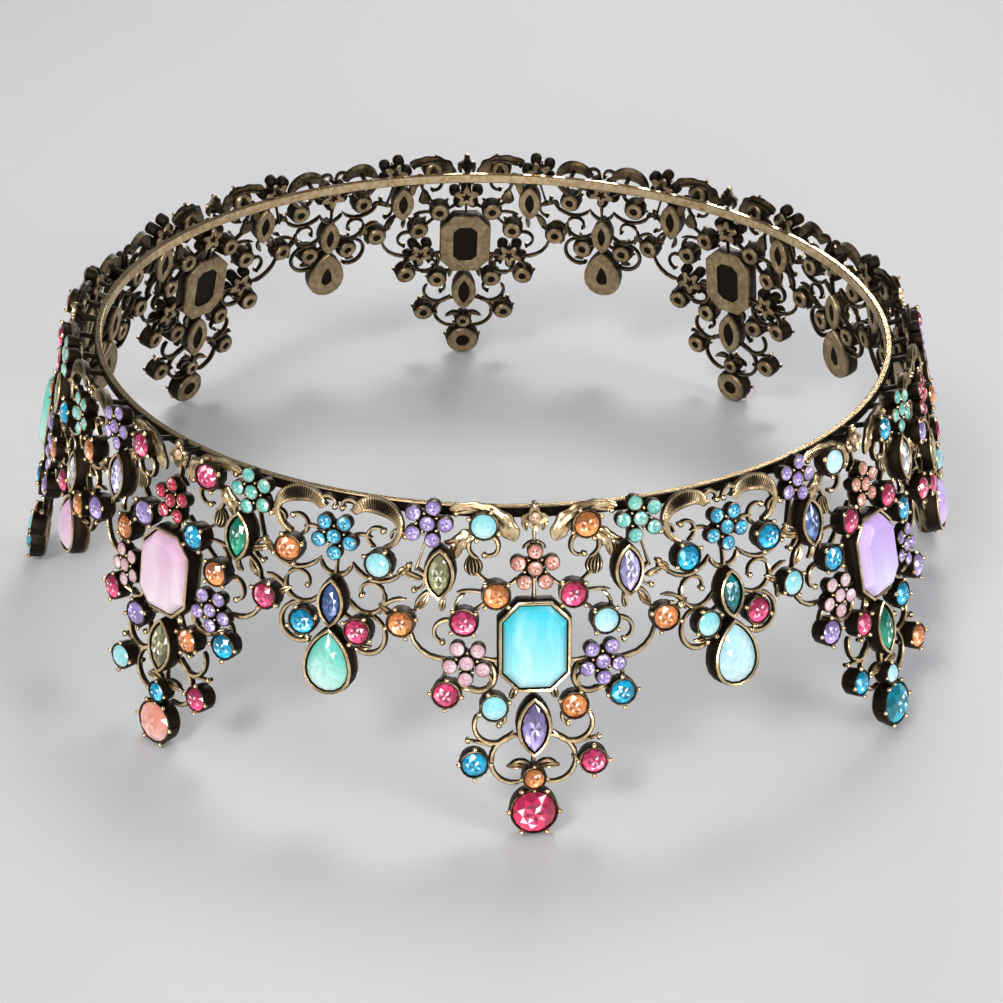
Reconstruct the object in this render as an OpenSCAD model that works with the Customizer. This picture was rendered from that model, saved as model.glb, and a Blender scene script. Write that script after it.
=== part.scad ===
// Openwork diadem: a flat band, with eight large and eight small jewelled plates
// soldered in turn round its outside. It stands on the tips of its large plates.
// Plate coordinates: x runs right from a plate's middle line, y runs up the leaning wall
// from the level of the band's top edge, and lift runs outwards from the stones' girdles.

/* [Band] */
// Outside radius of the band
band_r = 74; // [72:0.5:78]
// Thickness of the band
band_t = 1.2; // [0.9:0.1:2]
// Height of the band
band_h = 2; // [1.6:0.1:3]

/* [Wall of ornament] */
// Lean of the ornaments outwards from the upright, in degrees
flare = 13; // [10:0.5:16]
// Extra lean, in degrees, at the front right and back left, taken off on the other diagonal
oval_lean = 3; // [0:0.5:4]
// Distance of the stones' girdles outside the band
stone_reach = 5.6; // [5.2:0.1:6.2]
// Depth of the scrolls' faces behind the stones' girdles
scroll_set = 1.6; // [1.3:0.1:2]
// Thickness of the scrolls, through the wall
scroll_t = 1.4; // [1.1:0.1:1.8]
// Width of all scroll wires, as a factor on the tables below
wire_scale = 1; // [0.9:0.05:1.2]

/* [Settings] */
// Gap between a stone and its setting
fit_gap = 0.1; // [0.08:0.01:0.15]
// Thickness of a bezel's wall round a fancy stone
bezel_wall = 0.7; // [0.5:0.05:0.8]
// Height of a bezel's rim over the stone's girdle
bezel_rim = 0.35; // [0.2:0.05:0.6]
// Thickness of the wall of a round stone's cup
cup_wall = 0.35; // [0.3:0.05:0.5]
// Thickness of the floor of every setting
floor_t = 0.5; // [0.4:0.05:0.7]
// Diameter of the ball at a prong's end
prong_ball = 0.84; // [0.7:0.02:1]
// Diameter of the balls that end the scrolls
scroll_ball = 1.1; // [0.9:0.05:1.3]

/* [Fancy stones] */
// Width of the octagon
octagon_w = 10; // [9:0.1:10.5]
// Height of the octagon
octagon_h = 13.6; // [12.5:0.1:14]
// Cut taken off each corner of the octagon
octagon_cut = 2.6; // [2:0.1:3]
// Width of the pear
pear_w = 7; // [6.5:0.1:7.4]
// Height of the pear
pear_h = 10; // [9.4:0.1:10.4]
// Width of the navette under the octagon
drop_navette_w = 4.2; // [3.8:0.1:4.6]
// Height of the navette under the octagon
drop_navette_h = 8.6; // [8:0.1:9]
// Width of the navettes at the sides of a large plate
side_navette_w = 3.5; // [3.2:0.1:3.9]
// Height of the navettes at the sides of a large plate
side_navette_h = 7; // [6.6:0.1:7.4]
// Width of the navette of a small plate
small_navette_w = 3.2; // [3:0.1:3.5]
// Height of the navette of a small plate
small_navette_h = 6.8; // [6.4:0.1:7.2]

/* [Round stones] */
// Diameter of the stone at a large plate's tip
tip_d = 7; // [6.4:0.1:7.4]
// Diameter of the stone just above the tip
neck_d = 3.2; // [3:0.1:3.4]
// Diameter of the other round stones
round_d = 3.9; // [3.6:0.05:4.1]
// Diameter of a petal's cup in a flower
petal_d = 2.5; // [2.3:0.05:2.6]
// Distance of the petals from a flower's middle
petal_ring = 2.75; // [2.6:0.05:2.9]

/* [Cut of the stones] */
// Height of a stone's crown, as a share of its width
crown_share = 0.16; // [0.12:0.01:0.2]
// Depth of a stone's pavilion, as a share of its width
pavilion_share = 0.33; // [0.28:0.01:0.36]
// Width of the table, as a share of the stone's width
table_share = 0.58; // [0.5:0.01:0.66]

/* [Hidden] */
plates = 8;
pitch = 360 / plates;
each_plate = [0:plates - 1];
function numbered(name) = [for (i = each_plate) str(name, "_", i + 1)];

// Longest arc of a scroll in degrees, and sides of the stones' outlines
longest_arc = 240;
round_sides = 8;
fancy_sides = 10;
true_round = 24;

// Faces of the scrolls, and of what reaches in to the band
scroll_front = -scroll_set;
scroll_back = scroll_front - scroll_t;
cup_rim = 0.1;
petal_front = -0.1;
overcut = 1;
band_bite = 0.8;
deep_back = -ceil((stone_reach + band_bite) / cos(flare) * 10) / 10;

// Each plate is made of flat panels: one in the middle and one at each side.
// The angles are those between a side panel and its plate's middle line.
large_side_turn = 10;

// Places of the stones on a large plate, each given once for the right side
// columns: x, y
octagon_at = [0, -19.9];
drop_navette_at = [0, -33.5];
neck_at = [0, -42.3];
tip_at = [0, -48];
middle_flower_at = [0, -7.1];
large_middle_upper = [[6, -11.35]];
large_middle_lower = [[6.35, -30], [9.5, -39.5]];
large_side_upper = [[7.9, -0.15], [11.15, -16.1], [21, -16.9]];
large_side_lower = [[14.05, -28.4]];
side_navette_at = [14.85, -8.4];
// columns: x, y, turn
side_flowers = [[16.6, -0.3, 18], [10.75, -22.9, -10]];

// Places of the stones on a small plate
// columns: x, y
small_flower_at = [0, -4.4];
small_navette_at = [0, -15.5];
pear_at = [0, -25.6];
small_upper = [[7.5, -7.7]];
small_lower = [[4.65, -19.5]];
small_flower_turn = -34;

// Scrolls are arcs whose radius and width change evenly from the first end to the last.
CX = 0;
CY = 1;
R0 = 2;
R1 = 3;
A0 = 4;
A1 = 5;
W0 = 6;
W1 = 7;
BALL = 8;

// Scrolls in the right half of a large plate's middle panel
// columns: centre x, centre y, first radius, last radius, first angle, last angle,
//          first width, last width, ball at the last end
large_middle_scrolls = [
    [6.4, -33.4, 3.5, 2.9, 205, 400, 1.0, 0.8, 0],
    [2.7, -39.9, 4.4, 3.8, 95, -104, 1.0, 0.8, 0],
];
// Scrolls in a large plate's right panel, in the same columns
large_side_scrolls = [
    [7.6, -4.1, 2.3, 1.3, 60, 285, 1.0, 0.6, 1],
    [8.3, -4.0, 2.2, 2.1, 78, -75, 1.2, 0.6, 0],
    [9.6, -19.4, 8.0, 8.2, 108, 68, 0.7, 0.6, 0],
    [15.6, -15, 3.4, 3.2, 98, -8, 0.8, 0.6, 0],
    [14.1, -18.7, 2.3, 1.6, 118, -72, 0.9, 0.6, 1],
    [14.2, -17.7, 5.6, 5.4, 5, -98, 0.6, 1.1, 0],
    [9.2, -25.4, 2.9, 2.6, 125, 305, 0.9, 1.2, 0],
    [12.2, -26.6, 2.6, 2.4, 85, -5, 0.8, 0.7, 0],
];
// What reaches in to the band from that panel, in the same columns
large_deep_scrolls = [
    [8.6, -10.4, 12.3, 12.2, 103, 72, 1.2, 0.8, 0],
];

// Leaves in the middle panel's right half
// columns: x and y of the base, angle towards the tip, length, width
large_middle_leaves = [
    [6.7, -37.2, 14, 3.9, 1.2],
];
// Leaves in the right panel, in the same columns
large_side_leaves = [
    [9.2, -5.5, 268, 4.2, 2.9],
    [10.4, -27.9, 24, 2.9, 1.3],
];
large_deep_leaves = [
    [6.2, 1.7, 236, 5.4, 2.5],
];

// Short straight wires, in the middle panel's right half and in the right panel
// columns: x and y of one end, x and y of the other, width
large_middle_bars = [
    [6.2, -39.6, 8.2, -39.6, 0.9],
    [2.6, -9.4, 4.4, -10.6, 0.9],
];
large_stem_bars = [
    [0, -1.4, 0, -5.6, 0.9],
    [0, -8.6, 0, -12.8, 0.9],
    [0, -26.4, 0, -29.8, 1.2],
    [0, -37, 0, -41, 1.0],
];
large_side_bars = [
    [15.4, -2.2, 14.9, -5.2, 0.9],
    [16.8, -2.4, 18.6, -8.6, 0.6],
    [5.6, -22.8, 8.6, -22.8, 1.2],
    [18.0, -14.6, 19.6, -15.8, 0.8],
    [7.2, -12.4, 9.4, -14.6, 0.9],
    [8.6, -8.6, 7.0, -10.2, 0.8],
];

// The same for a small plate: middle panel's right half, right panel, and what is deep
small_scrolls = [
    [0, -8.8, 2.5, 2.6, 270, 350, 1.1, 0.7, 0],
    [6.7, -3.8, 1.9, 1.4, 256, 55, 0.8, 0.6, 1],
    [4.2, -6.7, 2.9, 2.8, 60, 130, 0.7, 0.7, 0],
    [7.0, -6.1, 5.2, 4.8, 212, 325, 0.8, 0.9, 0],
    [5.7, -13.6, 3.6, 1.2, 205, 555, 0.9, 0.6, 1],
    [11.6, -17.2, 4.0, 3.9, 172, 88, 0.7, 0.8, 0],
    [5.5, -20.6, 3.7, 2.9, 100, -118, 0.7, 1.1, 0],
];
small_deep_scrolls = [
    [6.3, -2.0, 3.6, 3.9, 158, -72, 2.3, 0.8, 0],
    [1.7, 0.2, 1.5, 1.1, 20, 195, 1.0, 0.6, 1],
];
small_leaves = [
    [10.4, -9.9, 58, 3.7, 1.5],
    [10.9, -9.0, 4, 3.6, 1.1],
];
small_bars = [
    [1.2, -17.6, 3.6, -18.8, 0.9],
];
small_stem_bars = [
    [0, -7.4, 0, -12.2, 1.0],
    [0, -18.6, 0, -21.2, 1.0],
];

// Wall of ornament
function lean(angle) = flare + oval_lean * sin(2 * angle);
function wall_r(y) = band_r + stone_reach - y * sin(flare);
function panel_x(x, y, turn) = x - turn * PI / 180 * wall_r(y);
tip_cup_r = tip_d / 2 + fit_gap + cup_wall;
tip_prong_r = tip_cup_r + prong_ball * 0.2;
prong_lift = 0.1;
// Height of the band's top edge when the lowest tips stand at height 0
steepest = flare - oval_lean;
rim_z = (tip_cup_r - tip_at[1]) * cos(steepest) - scroll_back * sin(steepest);

// Puts its children on the panel at an angle round the band
module on_panel(angle) {
    rotate([0, 0, angle])
        translate([0, -band_r - stone_reach, rim_z])
            rotate([90 - lean(angle), 0, 0])
                children();
}

// Puts its children at x and y on that panel, which is turned by turn from its plate
module at(x, y, turn = 0) {
    translate([panel_x(x, y, turn), y, 0])
        children();
}

// A row of a scroll table, or its mirror image in the plate's left half
function handed(row, side) = side > 0 ? row :
    [-row[CX], row[CY], row[R0], row[R1], 180 - row[A0], 180 - row[A1], row[W0], row[W1],
     row[BALL]];

// A point along a scroll, t from 0 to 1, at one edge of its width or on its middle line
function scroll_angle(row, t) = row[A0] + (row[A1] - row[A0]) * t;
function scroll_width(row, t) = (row[W0] + (row[W1] - row[W0]) * t) * wire_scale;
function scroll_point(row, t, edge) =
    let (r = row[R0] + (row[R1] - row[R0]) * t + edge * scroll_width(row, t))
    r * [cos(scroll_angle(row, t)), sin(scroll_angle(row, t))];

// Middle of the circle through three points
function circle_middle(p) =
    let (
        q = [for (i = [0:2]) p[i] * p[i]],
        d = 2 * (p[0][0] * (p[1][1] - p[2][1]) + p[1][0] * (p[2][1] - p[0][1])
                 + p[2][0] * (p[0][1] - p[1][1]))
    )
    [(q[0] * (p[1][1] - p[2][1]) + q[1] * (p[2][1] - p[0][1]) + q[2] * (p[0][1] - p[1][1])) / d,
     (q[0] * (p[2][0] - p[1][0]) + q[1] * (p[0][0] - p[2][0]) + q[2] * (p[1][0] - p[0][0])) / d];

module disc_through(points) {
    middle = circle_middle(points);
    translate(middle)
        circle(r = norm(points[0] - middle), $fn = 4 * true_round);
}

// One arc of a scroll, between two circles and the rays at its ends
module scroll_arc(row, t0, t1) {
    far = 4 * max(row[R0], row[R1]);
    ts = [t0, (t0 + t1) / 2, t1];
    difference() {
        intersection() {
            disc_through([for (t = ts) scroll_point(row, t, 0.5)]);
            polygon(concat([[0, 0]], [for (i = [0:3])
                let (a = scroll_angle(row, t0 + (t1 - t0) * i / 3)) far * [cos(a), sin(a)]]));
        }
        disc_through([for (t = ts) scroll_point(row, t, -0.5)]);
    }
}

module scrolls(table, side, turn) {
    for (right_row = table) {
        row = handed(right_row, side);
        arcs = ceil(abs(row[A1] - row[A0]) / longest_arc);
        at(row[CX], row[CY], side * turn) {
            for (i = [0:arcs - 1])
                scroll_arc(row, i / arcs, (i + 1) / arcs);
            if (arcs > 1)
                for (i = [1:arcs - 1])
                    translate(scroll_point(row, i / arcs, 0))
                        circle(d = scroll_width(row, i / arcs) + 0.1, $fn = true_round);
            if (row[BALL] > 0)
                translate(scroll_point(row, 1, 0))
                    circle(d = scroll_ball, $fn = true_round);
        }
    }
}

// Leaves: pointed at both ends, widest near the base
leaf_shoulder = 0.4;
function leaf_outline(length, width) =
    [[0, 0], [leaf_shoulder * length, -width / 2], [length, 0],
     [leaf_shoulder * length, width / 2]];

module leaves(table, side, turn) {
    for (row = table)
        at(side * row[0], row[1], side * turn)
            rotate(side > 0 ? row[2] : 180 - row[2])
                polygon(leaf_outline(row[3], row[4] * wire_scale));
}

module bars(table, side, turn) {
    for (row = table) {
        run = [side * (row[2] - row[0]), row[3] - row[1]];
        at(side * (row[0] + row[2]) / 2, (row[1] + row[3]) / 2, side * turn)
            rotate(atan2(run[1], run[0]))
                square([norm(run), row[4] * wire_scale], center = true);
    }
}

// A layer of the openwork between two lifts
module layer(back, front) {
    translate([0, 0, back])
        linear_extrude(front - back)
            union() children();
}

// Settings of round stones: a cup with a flat floor, and the tip's prongs
module cup(d) {
    r = d / 2 + fit_gap;
    pocket = scroll_back + floor_t;
    rotate_extrude($fn = true_round)
        polygon([[0, scroll_back], [r + cup_wall, scroll_back], [r + cup_wall, cup_rim],
                 [r, cup_rim], [r, pocket], [0, pocket]]);
}

module tip_prongs() {
    for (p = [0:5])
        rotate(60 * p)
            translate([tip_prong_r, 0, prong_lift])
                sphere(d = prong_ball, $fn = true_round);
}

// Flower: a middle cup with five petal cups round it
module flower(turn) {
    layer(scroll_back, petal_front) {
        circle(d = petal_ring * 2 - petal_d + 0.4, $fn = true_round);
        for (p = [0:4])
            rotate(turn + 90 + 72 * p)
                translate([petal_ring, 0])
                    circle(d = petal_d, $fn = true_round);
    }
}

// Outlines of the fancy stones, each grown by grow
function octagon_outline(grow) =
    let (
        w = octagon_w / 2 + grow,
        h = octagon_h / 2 + grow,
        c = octagon_cut + grow * (2 - sqrt(2))
    )
    [[w, -h + c], [w, h - c], [w - c, h], [-w + c, h], [-w, h - c], [-w, -h + c],
     [-w + c, -h], [w - c, -h]];

// A drop: a round foot under a pointed arch, whose arcs leave the foot upright.
// The foot is a half circle as wide as the stone, and foot_y is its middle.
foot_y = (pear_w - pear_h) / 2;
arch_h = pear_h - pear_w / 2;
module pear_outline(grow) {
    translate([0, foot_y]) {
        intersection() {
            circle(d = pear_w + 2 * grow, $fn = 4 * true_round);
            translate([-pear_w, -2 * pear_w]) square(2 * pear_w);
        }
        intersection() {
            lens(pear_w, 2 * arch_h, grow);
            translate([-pear_w, 0]) square(2 * pear_w);
        }
    }
}

// A boat shape between two arcs
function navette_arc(w, h) = (h * h + w * w) / (4 * w);
// Bezels: a wall round the outline, with a closed back
module octagon_bezel() {
    difference() {
        layer(scroll_back, bezel_rim) polygon(octagon_outline(fit_gap + bezel_wall));
        layer(scroll_back + floor_t, bezel_rim + overcut) polygon(octagon_outline(fit_gap));
    }
}

module pear_bezel() {
    difference() {
        layer(scroll_back, bezel_rim) pear_outline(fit_gap + bezel_wall);
        layer(scroll_back + floor_t, bezel_rim + overcut) pear_outline(fit_gap);
    }
}

module lens(w, h, grow) {
    r = navette_arc(w, h);
    intersection() {
        translate([r - w / 2, 0]) circle(r = r + grow, $fn = 4 * true_round);
        translate([w / 2 - r, 0]) circle(r = r + grow, $fn = 4 * true_round);
    }
}

module navette_bezel(w, h) {
    difference() {
        layer(scroll_back, bezel_rim) lens(w, h, fit_gap + bezel_wall);
        layer(scroll_back + floor_t, bezel_rim + overcut) lens(w, h, fit_gap);
    }
}

// Outlines of the cut stones, as straight facets
function round_outline(d) =
    [for (i = [0:round_sides - 1]) let (a = 360 * (i + 0.5) / round_sides)
        d / 2 * [cos(a), sin(a)]];

function navette_outline(w, h) =
    let (r = navette_arc(w, h), half = asin(h / 2 / r), n = fancy_sides / 2)
    concat([for (i = [0:n - 1]) let (a = -half + 2 * half * i / n)
                [r * cos(a) - r + w / 2, r * sin(a)]],
           [for (i = [0:n - 1]) let (a = half - 2 * half * i / n)
                [r - w / 2 - r * cos(a), r * sin(a)]]);

function pear_facets() =
    let (
        r = navette_arc(pear_w, 2 * arch_h),
        half = asin(arch_h / r),
        n = fancy_sides / 2
    )
    concat([for (i = [0:n]) let (a = half * i / n) [r * cos(a) - r + pear_w / 2, foot_y + r * sin(a)]],
           [for (i = [n - 1:-1:0]) let (a = half * i / n)
                [r - pear_w / 2 - r * cos(a), foot_y + r * sin(a)]],
           [for (i = [1:n - 1]) let (a = 180 + 180 * i / n)
                [pear_w / 2 * cos(a), foot_y + pear_w / 2 * sin(a)]]);

// A stone cut from an outline: a table, a crown round it, and a pavilion below the girdle
module cut_stone(outline, w) {
    n = len(outline);
    crown = crown_share * w;
    pavilion = min(pavilion_share * w, -scroll_back - floor_t - fit_gap);
    polyhedron(
        points = concat([for (p = outline) [p[0] * table_share, p[1] * table_share, crown]],
                        [for (p = outline) [p[0], p[1], 0]],
                        [[0, 0, -pavilion]]),
        faces = concat([[for (i = [n - 1:-1:0]) i]],
                       [for (i = [0:n - 1]) [i, (i + 1) % n, n + (i + 1) % n, n + i]],
                       [for (i = [0:n - 1]) [n + i, n + (i + 1) % n, 2 * n]]));
}

module round_stone(d) {
    cut_stone(round_outline(d), d);
}

// Frame
module band() {
    translate([0, 0, rim_z - band_h])
        rotate_extrude($fn = 8 * true_round)
            translate([band_r - band_t, 0])
                square([band_t, band_h]);
}

module large_middle_panel() {
    layer(scroll_back, scroll_front)
        for (side = [-1, 1]) {
            scrolls(large_middle_scrolls, side, 0);
            bars(large_middle_bars, side, 0);
            leaves(large_middle_leaves, side, 0);
            if (side > 0)
                bars(large_stem_bars, side, 0);
        }
    for (side = [-1, 1], p = concat(large_middle_upper, large_middle_lower))
        at(side * p[0], p[1]) cup(round_d);
    at(middle_flower_at[0], middle_flower_at[1]) flower(0);
    at(octagon_at[0], octagon_at[1])
        octagon_bezel();
    at(drop_navette_at[0], drop_navette_at[1])
        navette_bezel(drop_navette_w, drop_navette_h);
    at(neck_at[0], neck_at[1]) cup(neck_d);
    at(tip_at[0], tip_at[1]) {
        cup(tip_d);
        tip_prongs();
    }
}

module large_side_panel(side) {
    turn = large_side_turn;
    layer(scroll_back, scroll_front) {
        scrolls(large_side_scrolls, side, turn);
        bars(large_side_bars, side, turn);
        leaves(large_side_leaves, side, turn);
    }
    layer(deep_back, scroll_front) {
        scrolls(large_deep_scrolls, side, turn);
        leaves(large_deep_leaves, side, turn);
    }
    for (p = concat(large_side_upper, large_side_lower))
        at(side * p[0], p[1], side * turn) cup(round_d);
    for (p = side_flowers)
        at(side * p[0], p[1], side * turn) flower(side * p[2]);
    at(side * side_navette_at[0], side_navette_at[1], side * turn)
        navette_bezel(side_navette_w, side_navette_h);
}

module small_panel() {
    layer(scroll_back, scroll_front) {
        for (side = [-1, 1]) {
            scrolls(small_scrolls, side, 0);
            leaves(small_leaves, side, 0);
            bars(small_bars, side, 0);
        }
        bars(small_stem_bars, 1, 0);
    }
    layer(deep_back, scroll_front)
        for (side = [-1, 1])
            scrolls(small_deep_scrolls, side, 0);
    for (side = [-1, 1], p = concat(small_upper, small_lower))
        at(side * p[0], p[1]) cup(round_d);
    at(small_flower_at[0], small_flower_at[1]) flower(small_flower_turn);
    at(small_navette_at[0], small_navette_at[1])
        navette_bezel(small_navette_w, small_navette_h);
    at(pear_at[0], pear_at[1])
        pear_bezel();
}

module large_plate(angle) {
    on_panel(angle) large_middle_panel();
    for (side = [-1, 1])
        on_panel(angle + side * large_side_turn) large_side_panel(side);
}

module small_plate(angle) {
    on_panel(angle) small_panel();
}

module frame() {
    color("goldenrod") {
        band();
        for (i = each_plate) {
            large_plate(i * pitch);
            small_plate((i + 0.5) * pitch);
        }
    }
}

// The main stones, one of each to a plate
module octagon(i) {
    color("turquoise")
        on_panel(i * pitch)
            at(octagon_at[0], octagon_at[1]) cut_stone(octagon_outline(0), octagon_w);
}

module drop_navette(i) {
    color("mediumpurple")
        on_panel(i * pitch)
            at(drop_navette_at[0], drop_navette_at[1])
                cut_stone(navette_outline(drop_navette_w, drop_navette_h), drop_navette_w);
}

module tip_stone(i) {
    color("crimson")
        on_panel(i * pitch)
            at(tip_at[0], tip_at[1]) round_stone(tip_d);
}

module pear(i) {
    color("aquamarine")
        on_panel((i + 0.5) * pitch)
            at(pear_at[0], pear_at[1]) cut_stone(pear_facets(), pear_w);
}

// The smaller stones, all of a kind together
module neck_stones() {
    color("darkorange")
        for (i = each_plate)
            on_panel(i * pitch)
                at(neck_at[0], neck_at[1]) round_stone(neck_d);
}

module side_navettes() {
    color("plum")
        for (i = each_plate, side = [-1, 1])
            on_panel(i * pitch + side * large_side_turn)
                at(side * side_navette_at[0], side_navette_at[1], side * large_side_turn)
                    cut_stone(navette_outline(side_navette_w, side_navette_h), side_navette_w);
}

module small_navettes() {
    color("teal")
        for (i = each_plate)
            on_panel((i + 0.5) * pitch)
                at(small_navette_at[0], small_navette_at[1])
                    cut_stone(navette_outline(small_navette_w, small_navette_h), small_navette_w);
}

// Round stones at the places of a table, in both halves of the panel that it is for
module round_field(middle, turned, small) {
    for (i = each_plate, side = [-1, 1]) {
        on_panel(i * pitch)
            for (p = middle) at(side * p[0], p[1]) round_stone(round_d);
        on_panel(i * pitch + side * large_side_turn)
            for (p = turned)
                at(side * p[0], p[1], side * large_side_turn) round_stone(round_d);
        on_panel((i + 0.5) * pitch)
            for (p = small) at(side * p[0], p[1]) round_stone(round_d);
    }
}

module upper_rounds() {
    color("deeppink") round_field(large_middle_upper, large_side_upper, small_upper);
}

module lower_rounds() {
    color("dodgerblue") round_field(large_middle_lower, large_side_lower, small_lower);
}

frame();
for (i = each_plate) {
    octagon(i);
    drop_navette(i);
    tip_stone(i);
    pear(i);
}
neck_stones();
side_navettes();
small_navettes();
upper_rounds();
lower_rounds();
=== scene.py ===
"""Openwork diadem with opals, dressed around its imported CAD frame.

Every piece is worked out in plate coordinates, in millimetres: x runs right from a plate's
middle line, y runs up the leaning wall from the level of the band's top edge, and lift runs
outwards from the stones' girdles. on_panel() turns these into metres in the shared frame.
"""
from functools import partial
from math import radians

import bpy
import numpy as np
from mathutils import Matrix, Vector


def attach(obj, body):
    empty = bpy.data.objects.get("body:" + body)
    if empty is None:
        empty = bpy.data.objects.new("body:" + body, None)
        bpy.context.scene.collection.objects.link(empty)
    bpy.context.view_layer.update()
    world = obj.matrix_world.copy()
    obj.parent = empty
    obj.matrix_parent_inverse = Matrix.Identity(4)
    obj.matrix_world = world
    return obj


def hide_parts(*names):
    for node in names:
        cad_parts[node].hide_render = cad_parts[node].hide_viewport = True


bl_info = {
    "name": "Openwork Diadem",
    "version": (1, 0, 0),
    "blender": (4, 5, 0),
    "location": "View3D > Sidebar > Diadem",
    "description": "Builds the metalwork, the cut stones and the stage of an openwork diadem",
    "category": "Object",
}

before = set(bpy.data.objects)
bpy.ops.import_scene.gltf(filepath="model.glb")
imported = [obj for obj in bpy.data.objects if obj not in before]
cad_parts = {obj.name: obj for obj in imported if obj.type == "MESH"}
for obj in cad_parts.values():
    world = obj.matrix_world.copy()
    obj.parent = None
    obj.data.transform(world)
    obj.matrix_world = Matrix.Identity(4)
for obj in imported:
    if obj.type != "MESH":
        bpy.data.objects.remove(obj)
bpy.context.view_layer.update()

# Band and wall of ornament, as in the CAD frame
MM = 0.001
PLATES = 8
PITCH = 360 / PLATES
HALF_PITCH = PITCH / 2
BAND_R, BAND_T, BAND_H = 74.0, 1.2, 2.0
FLARE, OVAL_LEAN = 13.0, 3.0
STONE_REACH = 5.6
BACK, DEEP = -3.0, -6.6
SIDE_TURN = 10.0
LEFT_RIGHT = (-1, 1)

# Settings and stones, as in the CAD frame
FIT, FLOOR_T = 0.1, 0.5
BEZEL_WALL, BEZEL_RIM = 0.7, 0.35
CUP_WALL, CUP_RIM = 0.35, 0.1
OCTAGON_W, OCTAGON_H, OCTAGON_CUT = 10.0, 13.6, 2.6
PEAR_W, PEAR_H = 7.0, 10.0
DROP_NAVETTE, SIDE_NAVETTE, SMALL_NAVETTE = (4.2, 8.6), (3.5, 7.0), (3.2, 6.8)
TIP_D, NECK_D, ROUND_D = 7.0, 3.2, 3.9
PETAL_D, PETAL_RING, PETAL_STONE_D = 2.6, 2.75, 2.26
CROWN, PAVILION = 0.16, 0.33

# How finely the forms are drawn: points round or along each
ARC_POINTS, LOBED_POINTS, BACK_POINTS = 9, 40, 4
ROUND_SIDES, PRONG_SIDES, WIRE_SIDES = 14, 7, 8
SCROLL_STEP, HORN_RIBS = 13, 36
SHARP_ANGLE = 38

# Forms of the visual model alone
# The dish behind a cup, as a share of the stone's width, and the prongs of the small rounds
CUP_DISH, ROUND_PRONG_R, ROUND_PRONG_OUT = 0.26, 0.42, 0.62
# The lift of the scrolls, and the radius and lift of the balls at their ends
SCROLL_LIFT, BALL_R, BALL_LIFT = -2.15, 0.56, 0.2
# The rings of a brilliant's crown, as shares of its outline, and its deepest pavilion
STAR_RING, TABLE_RING, SLICE_RING, PAVILION_MOST = 0.8, 0.56, 0.3, 2.3
# How low the petals' stones lie, and how far the stones are cut inside their outlines
PETAL_SINK, OCTAGON_GAP, PEAR_GAP, DROP_GAP, NAVETTE_GAP = 0.22, 0.06, 0.1, 0.15, 0.12
# Place and colour of the star cup's stone, and the height of the tip stones' tables
BUD_AT, BUD_COLOUR, TIP_CROWN = (0, 0.7), (0.72, 0.46, 0.26, 0.0), 1.07
# Seeds of the random values that the stones' facets take
PETAL_SEED, BUD_SEED, MAIN_SEED, SMALL_SEED = 11, 3, 5, 23

# The stage, in metres: the floor's radius, where the lamps aim; and the sensor in millimetres
FLOOR_R, LAMPS_AIM, SENSOR = 3.0, (0, 0, 0.03), 36.0

# Places of the stones: x and y, given for the right side, and the turn of the panel
OCTAGON_AT, DROP_NAVETTE_AT = (0, -19.9), (0, -33.5)
NECK_AT, TIP_AT = (0, -42.3), (0, -48)
SIDE_NAVETTE_AT = (14.85, -8.4)
SMALL_NAVETTE_AT, PEAR_AT = (0, -15.5), (0, -25.6)
# columns: name, x, y, turn of the panel, turn of the prongs
LARGE_ROUNDS = [
    ("flank", 6, -11.35, 0, 0), ("loop", 6.35, -30, 0, 23), ("antenna", 9.5, -39.5, 0, 46),
    ("top", 7.9, -0.15, SIDE_TURN, 69), ("side", 11.15, -16.1, SIDE_TURN, 92),
    ("border", 21, -16.9, SIDE_TURN, 115), ("low", 14.05, -28.4, SIDE_TURN, 138),
]
SMALL_ROUNDS = [("upper", 7.5, -7.7, 0, 20), ("under", 4.65, -19.5, 0, 20)]
UPPER_ROUNDS = ("flank", "top", "side", "border", "upper")
# columns: name, x, y, turn of the panel, turn of the petals
SIDE_FLOWERS = [("crest", 16.6, -0.36, SIDE_TURN, 18), ("spray", 10.75, -22.9, SIDE_TURN, 38)]
MIDDLE_FLOWER = ("heart", 0, -7.1, 0, 0)
SMALL_FLOWER = ("star", 0, -4.4, 0, -34)

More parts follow.
